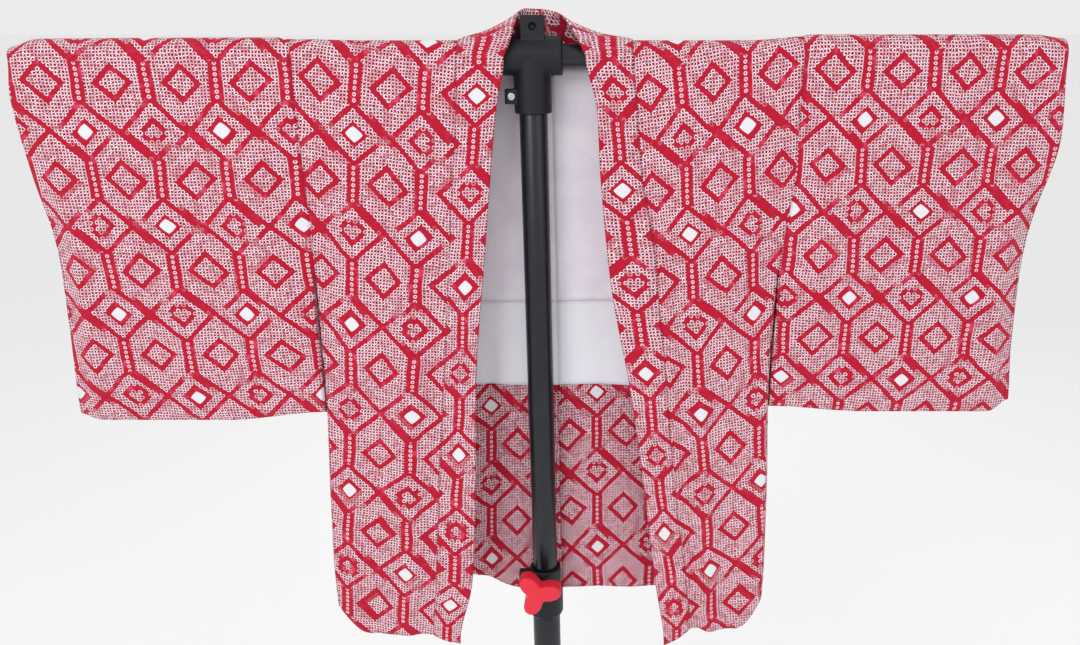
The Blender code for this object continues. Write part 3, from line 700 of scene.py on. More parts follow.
@dataclass(frozen=True)
class PlainSilk:
    """Undyed silk with a fine rib and faint soft creases, whose shade is painted into its colour.

    Args:
        name: the material's name.
        light: its colour on a rib.
        dark_and_crease_shade: its colour between ribs and on slubs, and the painted shade in creases.
        rib: the rib's spacing in metres.
        crease_relief_and_shade: how strong the creases' relief and their painted shade are.
        crease_scale: how many creases there are in a metre.
        slub_scale: how many slubs there are in a metre.
    """

    name: str
    light: Colour
    dark_and_crease_shade: Colour
    rib: float
    crease_relief_and_shade: float
    crease_scale: float = 22.0
    slub_scale: float = 260.0

    def material(self) -> bpy.types.Material:
        """Builds the material on the UV map, which is in metres of cloth.

        Returns:
            The new material.
        """
        graph = Graph(self.name)
        u, v = graph.split(graph.cloth)
        weft = (v * (math.tau / self.rib)).math("SINE") * 0.5 + 0.5
        warp = (u * (math.tau / (self.rib * 0.7))).math("SINE") * 0.5 + 0.5
        thread = weft * 0.6 + warp * 0.4
        soft = graph.noise(graph.cloth, self.crease_scale, 3.0)
        slub = graph.noise(graph.cloth, self.slub_scale, 2.0)
        # painted shade: the colour darkens along the creases
        crease_shade = soft.rises(0.35, 0.70) * 0.5 * self.crease_relief_and_shade
        # painted crease shade, the rib's tone and the slubs' tone together set how far the colour moves
        # towards the dark one
        shade = (crease_shade + thread * 0.15 + slub * 0.35).math("MINIMUM", 1.0)
        graph.shade(
            Base_Color=graph.tint(shade, self.light, self.dark_and_crease_shade),
            Roughness=0.48 + slub * 0.18,
            Sheen_Weight=0.2,
            Specular_IOR_Level=0.4,
        )
        graph.bump(thread * 0.12 + slub * 0.35 + soft * 2.2 * self.crease_relief_and_shade, 0.0006)
        return graph.material


@dataclass(frozen=True)
class HardFinish:
    """A painted, moulded or bare hard surface.

    Args:
        name: the material's name.
        colour: its colour.
        worn: its colour where it is scuffed.
        roughness: how matt it is.
        grain: how many grains there are in a metre.
        relief: how deep the grain is, in metres.
        metallic: 1 for bare metal.
        coat: how much clear coat it has.
        specular: how strongly it reflects, 0.5 for plain plastic.
        cloud_scale: how many cloudy patches there are in a metre.
    """

    name: str
    colour: Colour
    worn: Colour
    roughness: float
    grain: float
    relief: float
    metallic: float = 0.0
    coat: float = 0.0
    specular: float = 0.5
    cloud_scale: float = 38.0

    def material(self) -> bpy.types.Material:
        """Builds the material on Object coordinates.

        Returns:
            The new material.
        """
        graph = Graph(self.name)
        cloud = graph.noise(graph.object, self.cloud_scale, 4.0)
        speck = graph.noise(graph.object, self.grain, 2.0)
        rub = cloud.rises(0.52, 0.78) * speck.rises(0.45, 0.70)
        graph.shade(
            Base_Color=graph.tint(rub, self.colour, self.worn),
            Roughness=self.roughness - 0.06 + cloud * 0.14 + rub * 0.08,
            Metallic=self.metallic,
            Coat_Weight=self.coat,
            Coat_Roughness=0.25,
            Specular_IOR_Level=self.specular,
        )
        graph.bump(speck + cloud * 0.5, self.relief)
        return graph.material


SHIBORI = ShiboriSilk()
LINING_SILK = PlainSilk("mauve_lining_silk", (0.97, 0.93, 1.0), (0.83, 0.77, 0.89), 0.0011, 1.0)
BAND_SILK = PlainSilk("white_band_silk", (0.95, 0.95, 1.0), (0.82, 0.82, 0.94), 0.0008, 0.5)
SATIN_STEEL = HardFinish(
    name="satin_black_steel",
    colour=(0.0050, 0.0070, 0.0115),
    worn=(0.020, 0.024, 0.034),
    roughness=0.30,
    grain=900.0,
    relief=0.00003,
    coat=0.10,
    specular=0.42,
)
BLACK_PLASTIC = HardFinish(
    name="moulded_black_plastic",
    colour=(0.0065, 0.0080, 0.0120),
    worn=(0.022, 0.025, 0.033),
    roughness=0.50,
    grain=1400.0,
    relief=0.00008,
    specular=0.34,
)
RED_PLASTIC = HardFinish(
    name="moulded_red_plastic",
    colour=(0.78, 0.020, 0.045),
    worn=(0.86, 0.055, 0.085),
    roughness=0.42,
    grain=1500.0,
    relief=0.00010,
    specular=0.40,
)
BRIGHT_STEEL = HardFinish(
    name="bright_screw_steel",
    colour=(0.62, 0.62, 0.66),
    worn=(0.40, 0.40, 0.44),
    roughness=0.26,
    grain=1200.0,
    relief=0.00004,
    metallic=1.0,
)


# ---------------------------------------------------------------------------- making sheets
def hang(
    name: str,
    counts: tuple[int, int],
    drape: Drape,
    chart: Chart,
    thickness: float,
    finish: bpy.types.Material,
    outward: int = 1,
) -> bpy.types.Object:
    """Drapes a grid and gives it its thickness, inwards from the draped face.

    Args:
        name: the piece's name.
        counts: how many cells it has across and along.
        drape: the place of a point, from its shares across and along.
        chart: the cloth coordinates of a place, from it and its shares.
        thickness: how thick the wall is.
        finish: its material.
        outward: -1 where across and along run the other way round.

    Returns:
        The new piece.
    """
    bm = bmesh.new()
    bmesh.ops.create_grid(bm, x_segments=counts[0], y_segments=counts[1], size=0.5, calc_uvs=True)
    shares = {vert: (vert.co.x + 0.5, vert.co.y + 0.5) for vert in bm.verts}
    places = {vert: drape(*share) for vert, share in shares.items()}
    cloth = bm.loops.layers.uv.verify()
    for face in bm.faces:
        for corner in face.loops:
            corner[cloth].uv = chart(places[corner.vert], *shares[corner.vert])
    for vert, place in places.items():
        vert.co = place
    bmesh.ops.remove_doubles(bm, verts=bm.verts, dist=1e-5)
    if outward < 0:
        bmesh.ops.reverse_faces(bm, faces=bm.faces)
    return finished(name, bm, finish, thickness)


def finished(
    name: str, bm: bmesh.types.BMesh, finish: bpy.types.Material, thickness: float = 0.0
) -> bpy.types.Object:
    """Makes a smooth-shaded piece of a mesh.

    Args:
        name: the piece's name.
        bm: its mesh, which is used up.
        finish: its material.
        thickness: how thick its wall is, where it is a sheet.

    Returns:
        The new piece.
    """
    mesh = bpy.data.meshes.new(name)
    bm.normal_update()
    bm.to_mesh(mesh)
    bm.free()
    mesh.materials.append(finish)
    mesh.shade_smooth()
    piece = bpy.data.objects.new(name, mesh)
    bpy.context.scene.collection.objects.link(piece)
    if thickness:
        wall = piece.modifiers.new("wall", "SOLIDIFY")
        wall.thickness = thickness
        wall.offset = -1.0
        wall.use_even_offset = True
    return piece


def stand_for(piece: bpy.types.Object, node: str, body: Body, slot: Slot) -> None:
    """Puts a piece in the place of its CAD node, on that node's body.

    Args:
        piece: the piece.
        node: the CAD node that it stands for.
        body: the body that both ride on.
        slot: the record's material slot; not used.
    """
    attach(piece, body.value)
    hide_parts(node)
    LOG.info("%s: %d points", piece.name, len(piece.data.vertices))


def declare(
    piece: bpy.types.Object,
    node: str,
    slot: Slot,
    flat: tuple[float, float],
) -> None:
    """Rides a sheet on the mast, in the place of its CAD node.

    Args:
        piece: the sheet.
        node: the CAD node that it stands for.
        slot: the record's material slot.
        flat: the width and length that it was cut to; not used.
    """
    stand_for(piece, node, Body.MAST, slot)


# ---------------------------------------------------------------------------- the jacket's sheets
@dataclass
class BodyPanel:
    """One half of the body, from the front hem over the bar to the back hem, and what lines it.

    Args:
        half: its edges, lengths, folds and pattern.
        shibori: the dyed silk.
        lining: the lining's silk.
        band: the smooth band's silk.
        cell: the size of the panel's grid cells.
        layer_cell: the size of the linings' grid cells.
        grid_length: the length that the panel's rows of cells are counted on.
        front_share: the share of the length that hangs in front.
        bar_share: the share of the length at which the back begins.
        pull: how high the slanted pulls of the front are.
        pull_waves: how close they lie, in radians a metre.
        pull_slant: how far they lean.
        side_roll: how far the front's side edge rolls in.
        collar_roll: how far its collar edge rolls in.
        roll_span: the width on which those two rolls are measured.
        roll_width: how wide an edge's roll is.
        back_roll: how far the back's edges roll in.
        middle_roll_width: how wide the roll at the centre-back seam is.
        gusset_bow: how far the gusset bows out, as a share of its width.
    """

    half: Half
    shibori: bpy.types.Material
    lining: bpy.types.Material
    band: bpy.types.Material
    cell: float = 0.0055
    layer_cell: float = 0.007
    grid_length: float = 1.63
    front_share: float = 0.495
    bar_share: float = 0.515
    pull: float = 0.0009
    pull_waves: float = 62.0
    pull_slant: float = 0.7
    side_roll: float = 0.0007
    collar_roll: float = 0.0006
    roll_span: float = 0.2
    roll_width: float = 0.004
    back_roll: float = 0.0012
    middle_roll_width: float = 0.003
    gusset_bow: float = 0.12

    def side_blend(self, x: float, drop: float) -> float:
        """0 at the side seam and 1 where the panel hangs free of it."""
        return ease(abs(x - self.half.side.at(drop)) / SIDE_CURVE_REACH)

    def corner(self, across: float) -> float:
        """1 at the hem's outer corner, fading towards the collar."""
        return max(0.0, 1.0 - across / CORNER_REACH) ** 2

    def front(self, across: float, share: float) -> Vector:
        """A place on the front.

        Args:
            across: the share from the side seam to the collar's seam.
            share: the share of the front's length, from the bar to the hem.

        Returns:
            The place.
        """
        half = self.half
        drop = share * (half.front_length - half.corner_rise * self.corner(across))
        side, seam = half.side.at(drop), half.seam.at(drop)
        x = blend(side, seam, across)
        depth = blend(SIDE_DEPTH.at(drop), FRONT_DEPTH.at(drop), self.side_blend(x, drop))
        folds = sum(fold.lift(across, drop, abs(seam - side)) for fold in half.front_folds)
        slanted = math.sin(self.pull_waves * (x + self.pull_slant * drop))
        pull = self.pull * ease(drop / 0.05) * slanted * ease(across / 0.15)
        roll = self.side_roll * bell(across * self.roll_span, self.roll_width)
        roll += self.collar_roll * bell((1.0 - across) * self.roll_span, self.roll_width)
        return Vector((x, -depth - folds - pull + roll * ease(drop / 0.02), BAR_HEIGHT - drop))

    def back(self, across: float, share: float, inside: float = 0.0) -> Vector:
        """A place on the back.

        Args:
            across: the share from the side seam to the neck's corner.
            share: the share of the back's length.
            inside: above 0 within the neck, the share from its corner to the centre-back seam.

        Returns:
            The place.
        """
        half = self.half
        neck_x, middle = half.seam.at(0.0), BACK_SEAM_X + half.sign * SEAM_GAP / 2
        shoulder = (neck_x - half.side.at(0.0)) / (middle - half.side.at(0.0))
        from_side = blend(across * shoulder, 1.0, inside)
        rise = half.back_rise * ease((HEM_LEVEL_FROM - from_side) / HEM_RISE_REACH)
        hem_share = ease((share - FACING_TOP) / (1.0 - FACING_TOP))
        drop = share * (BACK_LENGTH - BACK_SIDE_RISE * self.corner(across)) - rise * hem_share
        x = blend(neck_x, middle, inside) if inside else blend(half.side.at(drop), neck_x, across)
        depth = blend(SIDE_DEPTH.at(drop), BACK_DEPTH.at(drop), self.side_blend(x, drop))
        depth = blend(depth, max(depth, NECK_DEPTH), ease(1.4 * inside))
        width = abs(middle - half.side.at(drop))
        reach = abs(x - half.side.at(drop)) / width
        folds = sum(fold.lift(reach, drop, width) for fold in half.back_folds)
        edges = bell(reach * width, self.roll_width) + bell((1.0 - reach) * width, self.middle_roll_width)
        return Vector((x, depth + (folds - self.back_roll * edges) * ease(drop / 0.08), BAR_HEIGHT - drop))

    def over_bar(self, across: float, share: float) -> Vector:
        """A place over the bar.

        Args:
            across: the share from the side seam to the collar's seam.
            share: the share of the half turn from the front to the back.

        Returns:
            The place.
        """
        x = blend(self.half.side.at(0.0), self.half.seam.at(0.0), across)
        angle = math.pi * share
        return Vector((x, -OVER_BAR_RADIUS * math.cos(angle), BAR_HEIGHT + TOP_LINE.at(x) * math.sin(angle)))

    def whole(self, across: float, along: float) -> Vector:
        """A place on the length of cloth.

        Args:
            across: the share from the side seam to the collar's seam.
            along: the share of the length, from the front hem to the back hem.

        Returns:
            The place.
        """
        if along < self.front_share:
            return self.front(across, 1.0 - along / self.front_share)
        if along <= self.bar_share:
            return self.over_bar(across, (along - self.front_share) / (self.bar_share - self.front_share))
        return self.back(across, (along - self.bar_share) / (1.0 - self.bar_share))

    def chart(self, place: Vector, across: float, along: float) -> ClothPlace:
        """Cloth coordinates, which run on over the bar.

        Args:
            place: the draped place.
            across: its share across, which the pattern doesn't need.
            along: its share along.

        Returns:
            The coordinates, in metres of the plain repeat.
        """
        drop = BAR_HEIGHT - place.z
        if along > self.bar_share:
            drop = -drop - CLOTH_OVER_BAR
        elif along > self.front_share:
            share = (along - self.front_share) / (self.bar_share - self.front_share)
            drop = -CLOTH_OVER_BAR * share
        return self.half.front_print.chart(place.x, drop)

    def make_panel(self) -> bpy.types.Object:
        """Drapes the panel, with the part of the back that lies inside the neck joined on.

        Returns:
            The new sheet.
        """
        half = self.half
        columns = round(abs(half.side.at(0.0) - half.seam.at(0.0)) / self.cell)
        neck_columns = round(abs(half.seam.at(0.0) - BACK_SEAM_X) / self.cell)
        rows = round(self.grid_length / self.cell)
        first = math.ceil(self.bar_share * rows)
        start = first / rows

        def neck(inside: float, along: float) -> Vector:
            """A place on the part inside the neck."""
            share = (start + along * (1.0 - start) - self.bar_share) / (1.0 - self.bar_share)
            return self.back(1.0, share, max(inside, JUST_INSIDE))

        def neck_chart(place: Vector, inside: float, along: float) -> ClothPlace:
            """Cloth coordinates there, as on the rest of the back."""
            return self.chart(place, 1.0, 1.0)

        name, cloth = f"body_{half.name}", (CLOTH, self.shibori, -half.sign)
        main = hang(f"{name}_cloth", (columns, rows), self.whole, self.chart, *cloth)
        inner = hang(f"{name}_neck", (neck_columns, rows - first), neck, neck_chart, *cloth)
        return joined(main, inner)

    def layer(self, name: str, top: float, bottom: float, finish: bpy.types.Material) -> bpy.types.Object:
        """Lines the back between two shares of its length, from the side seam to the centre.

        Args:
            name: the layer's name.
            top: the share of the back's length at which it starts.
            bottom: the share at which it ends.
            finish: its material.

        Returns:
            The new sheet.
        """
        half = self.half
        width = abs(half.side.at(0.0) - BACK_SEAM_X)
        turn = abs(half.side.at(0.0) - half.seam.at(0.0)) / width
        side_inset, middle_inset = 0.012, 0.0005

        def drape(across: float, along: float) -> Vector:
            """A place on the layer, inside the back."""
            across = blend(side_inset, 1.0, across)
            inside = max(0.0, (across - turn) / (1.0 - turn))
            place = self.back(min(1.0, across / turn), blend(top, bottom, along), inside)
            place.x -= half.sign * middle_inset * ease((across - 0.98) / 0.02)
            return place - Vector((0.0, LINING_OFFSET, SEAM_GAP if along == 0.0 else 0.0))

        def chart(place: Vector, across: float, along: float) -> ClothPlace:
            """Cloth coordinates on the layer."""
            return half.facing_print.chart(place.x, BAR_HEIGHT - place.z)

        rows = max(8, round((bottom - top) * BACK_LENGTH / self.layer_cell))
        counts = (round(width / self.layer_cell), rows)
        return hang(f"{name}_{half.name}_cloth", counts, drape, chart, LINING, finish, -half.sign)

    def make(self) -> None:
        name = self.half.name
        width = abs(self.half.side.at(0.0) - BACK_SEAM_X)
        length = self.half.front_length + BACK_LENGTH + CLOTH_OVER_BAR
        area = width * length * PANEL_FILL
        declare(self.make_panel(), f"body_{name}", Slot.SHIBORI, (width, length))
        for layer, top, bottom, finish, slot in (
            ("back_lining", LINING_TOP, BAND_TOP, self.lining, Slot.LINING),
            ("lining_band", BAND_TOP, FACING_TOP, self.band, Slot.BAND),
            ("hem_facing", FACING_TOP, 1.0, self.shibori, Slot.SHIBORI),
        ):
            piece = self.layer(layer, top, bottom, finish)
            declare(piece, f"{layer}_{name}", slot, (width, (bottom - top) * BACK_LENGTH))
        declare(self.gusset(), f"gusset_{name}", Slot.SHIBORI, GUSSET_CUT)

    def gusset(self) -> bpy.types.Object:
        """Hangs the narrow wedge between the side edges of the front and the back.

        Returns:
            The new sheet.
        """
        half = self.half

        def drape(across: float, along: float) -> Vector:
            """A place on the wedge, bowed outwards between the two edges."""
            share = blend(GUSSET_TOP, 1.0, along)
            front, back = self.front(0.0, share), self.back(0.0, share)
            out = SEAM_GAP + self.gusset_bow * (back - front).length * math.sin(math.pi * across)
            return front.lerp(back, across) + Vector((half.sign * out, 0.0, 0.0))

        def chart(place: Vector, across: float, along: float) -> ClothPlace:
            """Cloth coordinates on the wedge, which lies in depth."""
            return half.front_print.chart(place.y + 0.02, BAR_HEIGHT - place.z)

        return hang(f"gusset_{half.name}_cloth", (8, 90), drape, chart, CLOTH, self.shibori, -half.sign)


def joined(first: bpy.types.Object, second: bpy.types.Object) -> bpy.types.Object:
    """Merges the second sheet into the first along the edge that they share.

    Args:
        first: the sheet that stays.
        second: the sheet that is merged into it and removed.

    Returns:
        The first sheet.
    """
    bm = bmesh.new()
    bm.from_mesh(first.data)
    bm.from_mesh(second.data)
    bmesh.ops.remove_doubles(bm, verts=bm.verts, dist=2e-5)
    bm.normal_update()
    bm.to_mesh(first.data)
    bm.free()
    bpy.data.objects.remove(second, do_unlink=True)
    return first


@dataclass
class Collar:
    """The folded band from one front hem round the neck to the other.

    Args:
        bodies: the two body panels that it is sewn to, left first.
        shibori: the dyed silk.
        front_part: the share of half its length that hangs in front.
        bar_part: the share of the rest that is sewn to the shoulder over the bar.
        neck_length: how much cloth lies from the bar to the centre of the back neck.
        seam_overlap: how far its seam edge lies over the body: aside, forwards and up.
        back_overlap: how far it lies over the body at the back neck.
        curl: how far the free edge stands forwards, at the top and lower down.
        crown: how far its middle stands out.
        wave: how high its waves are towards the hem.
        tuck: how far its seam edge is drawn in.
        tuck_width: how wide that tuck is.
        width: its width.
        left_print: the drop of a white spot on the left half, and the repeat down it.
        right_print: the same for the right half.
    """

    bodies: tuple[BodyPanel, BodyPanel]
    shibori: bpy.types.Material
    front_part: float = 0.87
    bar_part: float = 2 / 3
    neck_length: float = 0.13
    seam_overlap: Point = (0.0008, -0.0004, 0.0)
    curl: Span = (0.009, 0.004)
    crown: float = 0.0015
    wave: float = 0.0022
    tuck: float = 0.0017
    tuck_width: float = 0.0030
    width: float = 0.050
    left_print: Span = (0.046, 0.1185)
    right_print: Span = (0.160, 0.1203)
    back_overlap: Point = (0.0, 0.0008, -0.0035)

    def half_place(self, body: BodyPanel, across: float, along: float) -> Vector:
        """A place on one half of the band.

        Args:
            body: the body panel that it is sewn to.
            across: the share from the seam to the free edge.
            along: the share from the front hem to the centre of the back neck.

        Returns:
            The place.
        """
        half, over_back, drop = body.half, 0.0, 0.0
        if along < self.front_part:
            share = 1.0 - along / self.front_part
            aside, forwards, up = self.seam_overlap
            seam = body.front(1.0, share) + Vector((half.sign * aside, forwards, up))
            drop = share * blend(half.front_length, half.tip_length, share)
            curl = blend(*self.curl, ease(drop / 0.15))
            free = Vector((half.free.at(drop), seam.y - curl, BAR_HEIGHT - drop))
        else:
            share = (along - self.front_part) / (1.0 - self.front_part)
            if share < self.bar_part:
                seam = body.over_bar(1.0, share * 1.5)
            else:
                seam = body.back(1.0, 0.0, max(JUST_INSIDE, share * 3.0 - 2.0))
            over_back = ease((share - 0.58) / 0.15)
            seam = seam + Vector(self.back_overlap) * over_back
            free = Vector((half.neck_x.at(share), half.neck_y.at(share), BAR_HEIGHT + half.neck_z.at(share)))
        middle = math.sin(math.pi * across)
        wave = self.wave * ease((drop - 0.25) / 0.3) * math.sin(7.5 * drop + 3.0 * across) * middle
        tuck = self.tuck * bell(across * self.width, self.tuck_width) * (1.0 - over_back)
        return seam.lerp(free, across) + self.outward(half, along) * (self.crown * middle + wave - tuck)

    def outward(self, half: Half, along: float) -> Vector:
        """The way out of the band: forwards in front, and up and outwards round the neck.

        Args:
            half: the half of the jacket.
            along: the share from the front hem to the centre of the back neck.

        Returns:
            A unit vector.
        """
        share = ease((along - self.front_part) / (1.0 - self.front_part))
        forwards = Vector((0.0, -1.0, 0.0))
        aside = Vector((half.sign * 0.6, 0.0, 0.8))
        behind = Vector((0.0, 1.0, 0.2))
        turned = forwards.lerp(aside, min(1.0, 2.0 * share)).lerp(behind, max(0.0, 2.0 * share - 1.0))
        return turned.normalized()

    def place(self, across: float, along: float) -> Vector:
        """A place on the whole band.

        Args:
            across: the share from the seam to the free edge.
            along: the share from the left front hem to the right one.

        Returns:
            The place.
        """
        left, right = self.bodies
        if along <= 0.5:
            return self.half_place(left, across, 2.0 * along)
        return self.half_place(right, across, 2.0 - 2.0 * along)

    def chart(self, place: Vector, across: float, along: float) -> ClothPlace:
        """Cloth coordinates along the band, with a column of spots down its middle.

        Args:
            place: the draped place.
            across: its share across.
            along: its share along.

        Returns:
            The coordinates, in metres of the plain repeat.
        """
        share = min(2.0 * along, 2.0 - 2.0 * along)
        drop = BAR_HEIGHT - place.z
        if share > self.front_part:
            drop = -self.neck_length * (share - self.front_part) / (1.0 - self.front_part)
        start, pitch = self.left_print if along <= 0.5 else self.right_print
        return (across - 0.5) * self.width, (drop - start) * REPEAT_DOWN / pitch

    def make(self) -> None:
        piece = hang("collar_cloth", (10, 340), self.place, self.chart, BAND, self.shibori, -1)
        declare(piece, "collar", Slot.SHIBORI, COLLAR_CUT)


@dataclass
class Sleeve:
    """A bag folded over the bar, open at the wrist's top and along its inner edge.

    Args:
        half: the jacket's half that it belongs to.
        shibori: the dyed silk.
        lining: the lining's silk.
        width: its width.
        half_length: the length of its front or back, on which its rows of cells are counted.
        cell: the size of its grid cells.
        fold_share: the share of its length that turns under at the bottom, on each side.
        bar_share: the share that turns over the bar, on each side.
        seam_overlap: how far it lies from the body's edge above the arm seam's end.
        slit_opens: the length over which the slit below that opens.
        swing: how high its broad slack is.
        slack: how high the finer slack towards the bottom is.
        lining_reach: the shares across between which its lining lies.
        lining_cells: how many grid cells the lining has across and along.
    """

    half: Half
    shibori: bpy.types.Material
    lining: bpy.types.Material
    width: float = 0.33
    half_length: float = 0.52
    cell: float = 0.0058
    fold_share: float = 0.012
    bar_share: float = 0.030
    seam_overlap: float = -0.0010
    slit_opens: float = 0.10
    swing: float = 0.0016
    slack: float = 0.0010
    lining_reach: Span = (0.012, 0.88)
    lining_cells: tuple[int, int] = (30, 124)

    def x_at(self, across: float, drop: float) -> float:
        """Where a share across lies at a drop, along X."""
        half = self.half
        slit = blend(self.seam_overlap, FURI_SLIT, ease((drop - ARM_SEAM_DROP) / self.slit_opens))
        return blend(half.side.at(drop) + half.sign * slit, half.cuff.at(drop), across)

    def depth_at(self, across: float, drop: float) -> float:
        """How far the sheet hangs from the bar's plane."""
        depth = blend(FURI_DEPTH.at(drop), SLEEVE_DEPTH.at(drop), ease(across / 0.2)) - self.tuck(across)
        return blend(depth, CUFF_DEPTH.at(drop), ease((across - CUFF_TAPER) / (1.0 - CUFF_TAPER)))

    def tuck(self, across: float) -> float:
        """How far the inner edge turns in, beneath the body's edge."""
        return EDGE_TUCK * bell(across * self.width, EDGE_TUCK_WIDTH)

    def ripple(self, across: float, drop: float, face: int) -> float:
        """Soft slack in the sheet, different in front and behind.

        Args:
            across: the share from the inner edge to the cuff.
            drop: how far down.
            face: -1 in front and 1 behind.

        Returns:
            How far the sheet stands out there.
        """
        free = ease(across / 0.12) * ease((1.0 - across) / 0.12) * ease(drop / 0.10)
        swing = math.sin(14.0 * across + 5.0 * drop + 1.3 * face) * self.swing
        slack = math.sin(24.0 * drop - 6.0 * across * face) * self.slack * ease((drop - 0.18) / 0.15)
        return free * (swing + slack)

    def place(self, across: float, along: float) -> Vector:
        """A place round the bag.

        Args:
            across: the share from the inner edge to the cuff.
            along: the share up the front from the bottom fold, over the bar and down the back.

        Returns:
            The place.
        """
        half = self.half
        face = -1 if along <= 0.5 else 1
        share = along if face < 0 else 1.0 - along
        inner_rise = half.sleeve_inner_rise * (1.0 - ease(across / 0.4))
        corner_rise = half.sleeve_corner * ease((across - CUFF_TAPER) / (1.0 - CUFF_TAPER)) ** 2
        bottom = half.sleeve_drop - inner_rise - corner_rise
        fold = self.depth_at(across, bottom)
        if share < self.fold_share:
            angle = math.pi / 2 * share / self.fold_share
            drop = bottom - fold + fold * math.cos(angle)
            return Vector((self.x_at(across, drop), face * fold * math.sin(angle), BAR_HEIGHT - drop))
        top_start = 0.5 - self.bar_share
        if share < top_start:
            drop = (top_start - share) / (top_start - self.fold_share) * (bottom - fold)
            depth = self.depth_at(across, drop) + self.ripple(across, drop, face)
            return Vector((self.x_at(across, drop), face * depth, BAR_HEIGHT - drop))
        angle = math.pi / 2 * (share - top_start) / self.bar_share
        x = self.x_at(across, 0.0)
        radius, top = OVER_BAR_RADIUS - self.tuck(across), TOP_LINE.at(x) - self.tuck(across)
        return Vector((x, face * radius * math.cos(angle), BAR_HEIGHT + top * math.sin(angle)))

    def chart(self, place: Vector, across: float, along: float) -> ClothPlace:
        """Cloth coordinates, which run on over the bar.

        Args:
            place: the draped place.
            across: its share across, which the pattern doesn't need.
            along: its share along.

        Returns:
            The coordinates, in metres of the plain repeat.
        """
        drop = BAR_HEIGHT - place.z
        if drop < 0:
            drop = -CLOTH_OVER_BAR / 2 * (along - 0.5 + self.bar_share) / self.bar_share
        elif along > 0.5:
            drop = -drop - CLOTH_OVER_BAR
        return self.half.sleeve_print.chart(place.x, drop)

    def make(self) -> None:
        name, outward = self.half.name, -self.half.sign
        counts = (round(self.width / self.cell), 2 * round(self.half_length / self.cell))
        piece = hang(f"sleeve_{name}_cloth", counts, self.place, self.chart, CLOTH, self.shibori, outward)
        declare(piece, f"sleeve_{name}", Slot.SHIBORI, SLEEVE_CUT)

        def inner(across: float, along: float) -> Vector:
            """A place on the lining, inside the sleeve."""
            outer = self.place(blend(*self.lining_reach, across), along)
            away = Vector((0.0, outer.y, max(0.0, outer.z - BAR_HEIGHT)))
            if along < self.fold_share or along > 1.0 - self.fold_share:
                away = Vector((0.0, outer.y, -0.006))
            return outer - away.normalized() * LINING_OFFSET

        node, cells = f"sleeve_lining_{name}", self.lining_cells
        lining = hang(f"{node}_cloth", cells, inner, self.chart, LINING, self.lining, outward)
        declare(lining, node, Slot.LINING, SLEEVE_LINING_CUT)


# ---------------------------------------------------------------------------- the stand
def raised(bm: bmesh.types.BMesh, by: Point) -> None:
    """Extrudes a mesh's only face into a closed block.

    Args:
        bm: the mesh.
        by: where the block's far face lies from the first.
    """
    grown = bmesh.ops.extrude_face_region(bm, geom=bm.faces[:])["geom"]
    far = [thing for thing in grown if isinstance(thing, bmesh.types.BMVert)]
    bmesh.ops.translate(bm, vec=by, verts=far)
    bmesh.ops.recalc_face_normals(bm, faces=bm.faces)


def rounded(bm: bmesh.types.BMesh, edges: Sequence[bmesh.types.BMEdge], width: float, segments: int) -> None:
    """Rounds edges.

    Args:
        bm: the mesh.
        edges: the edges to round.
        width: how wide the rounding is.
        segments: how many faces it has across.
    """
    bmesh.ops.bevel(
        bm, geom=edges, offset=width, segments=segments, profile=0.5, affect="EDGES", material=-1
    )


def turned(bm: bmesh.types.BMesh, axis: str, place: Sequence[float]) -> None:
    """Turns a mesh a quarter round an axis and moves it to its place."""
    bmesh.ops.transform(bm, matrix=Matrix.Rotation(math.radians(90), 4, axis), verts=bm.verts)
    bmesh.ops.translate(bm, vec=place, verts=bm.verts)


def spun(bm: bmesh.types.BMesh, outline: Outline, steps: int) -> None:
    """Adds a closed shape turned round the Z axis.

    Args:
        bm: the mesh that it is added to.
        outline: its closed outline, as (radius, height) points.
        steps: how many steps make the full turn.
    """
    ring = [bm.verts.new((radius, 0.0, height)) for radius, height in outline]
    pairs = zip(ring, ring[1:] + ring[:1])
    edges = [bm.edges.new(pair) for pair in pairs if pair[0].co.x or pair[1].co.x]
    bmesh.ops.spin(
        bm, geom=ring + edges, cent=(0, 0, 0), axis=(0, 0, 1), angle=math.tau, steps=steps, use_merge=True
    )
    bmesh.ops.remove_doubles(bm, verts=bm.verts, dist=1e-6)
    bmesh.ops.recalc_face_normals(bm, faces=bm.faces)


@dataclass
class Knob:
    """The three-lobed hand knob that clamps the mast."""

    finish: bpy.types.Material
    centre: Point = (-0.008, -0.037, 0.770)
    thickness: float = 0.021
    mean_radius: float = 0.0240
    lobe: float = 0.0100
    turn: float = math.radians(8)
    rim: float = 0.0028
    steps: int = 96

    def make(self) -> None:
        """Makes the knob and puts it in its CAD node's place."""
        bm = bmesh.new()
        made = bmesh.ops.create_circle(bm, cap_ends=True, segments=self.steps, radius=1.0)
        for vert in made["verts"]:
            angle = math.atan2(vert.co.y, vert.co.x)
            radius = self.mean_radius + self.lobe * math.cos(3 * (angle - self.turn))
            vert.co = Vector((radius * math.cos(angle), 0.0, radius * math.sin(angle)))
        raised(bm, (0.0, -self.thickness, 0.0))
        rims = [edge for edge in bm.edges if abs(edge.verts[0].co.y - edge.verts[1].co.y) < 1e-6]
        rounded(bm, rims, self.rim, 4)
        bmesh.ops.translate(bm, vec=self.centre, verts=bm.verts)
        piece = finished("knob_grip", bm, self.finish)
        piece.data.set_sharp_from_angle(angle=math.radians(50))
        stand_for(piece, "clamp_knob", Body.KNOB, Slot.RED)


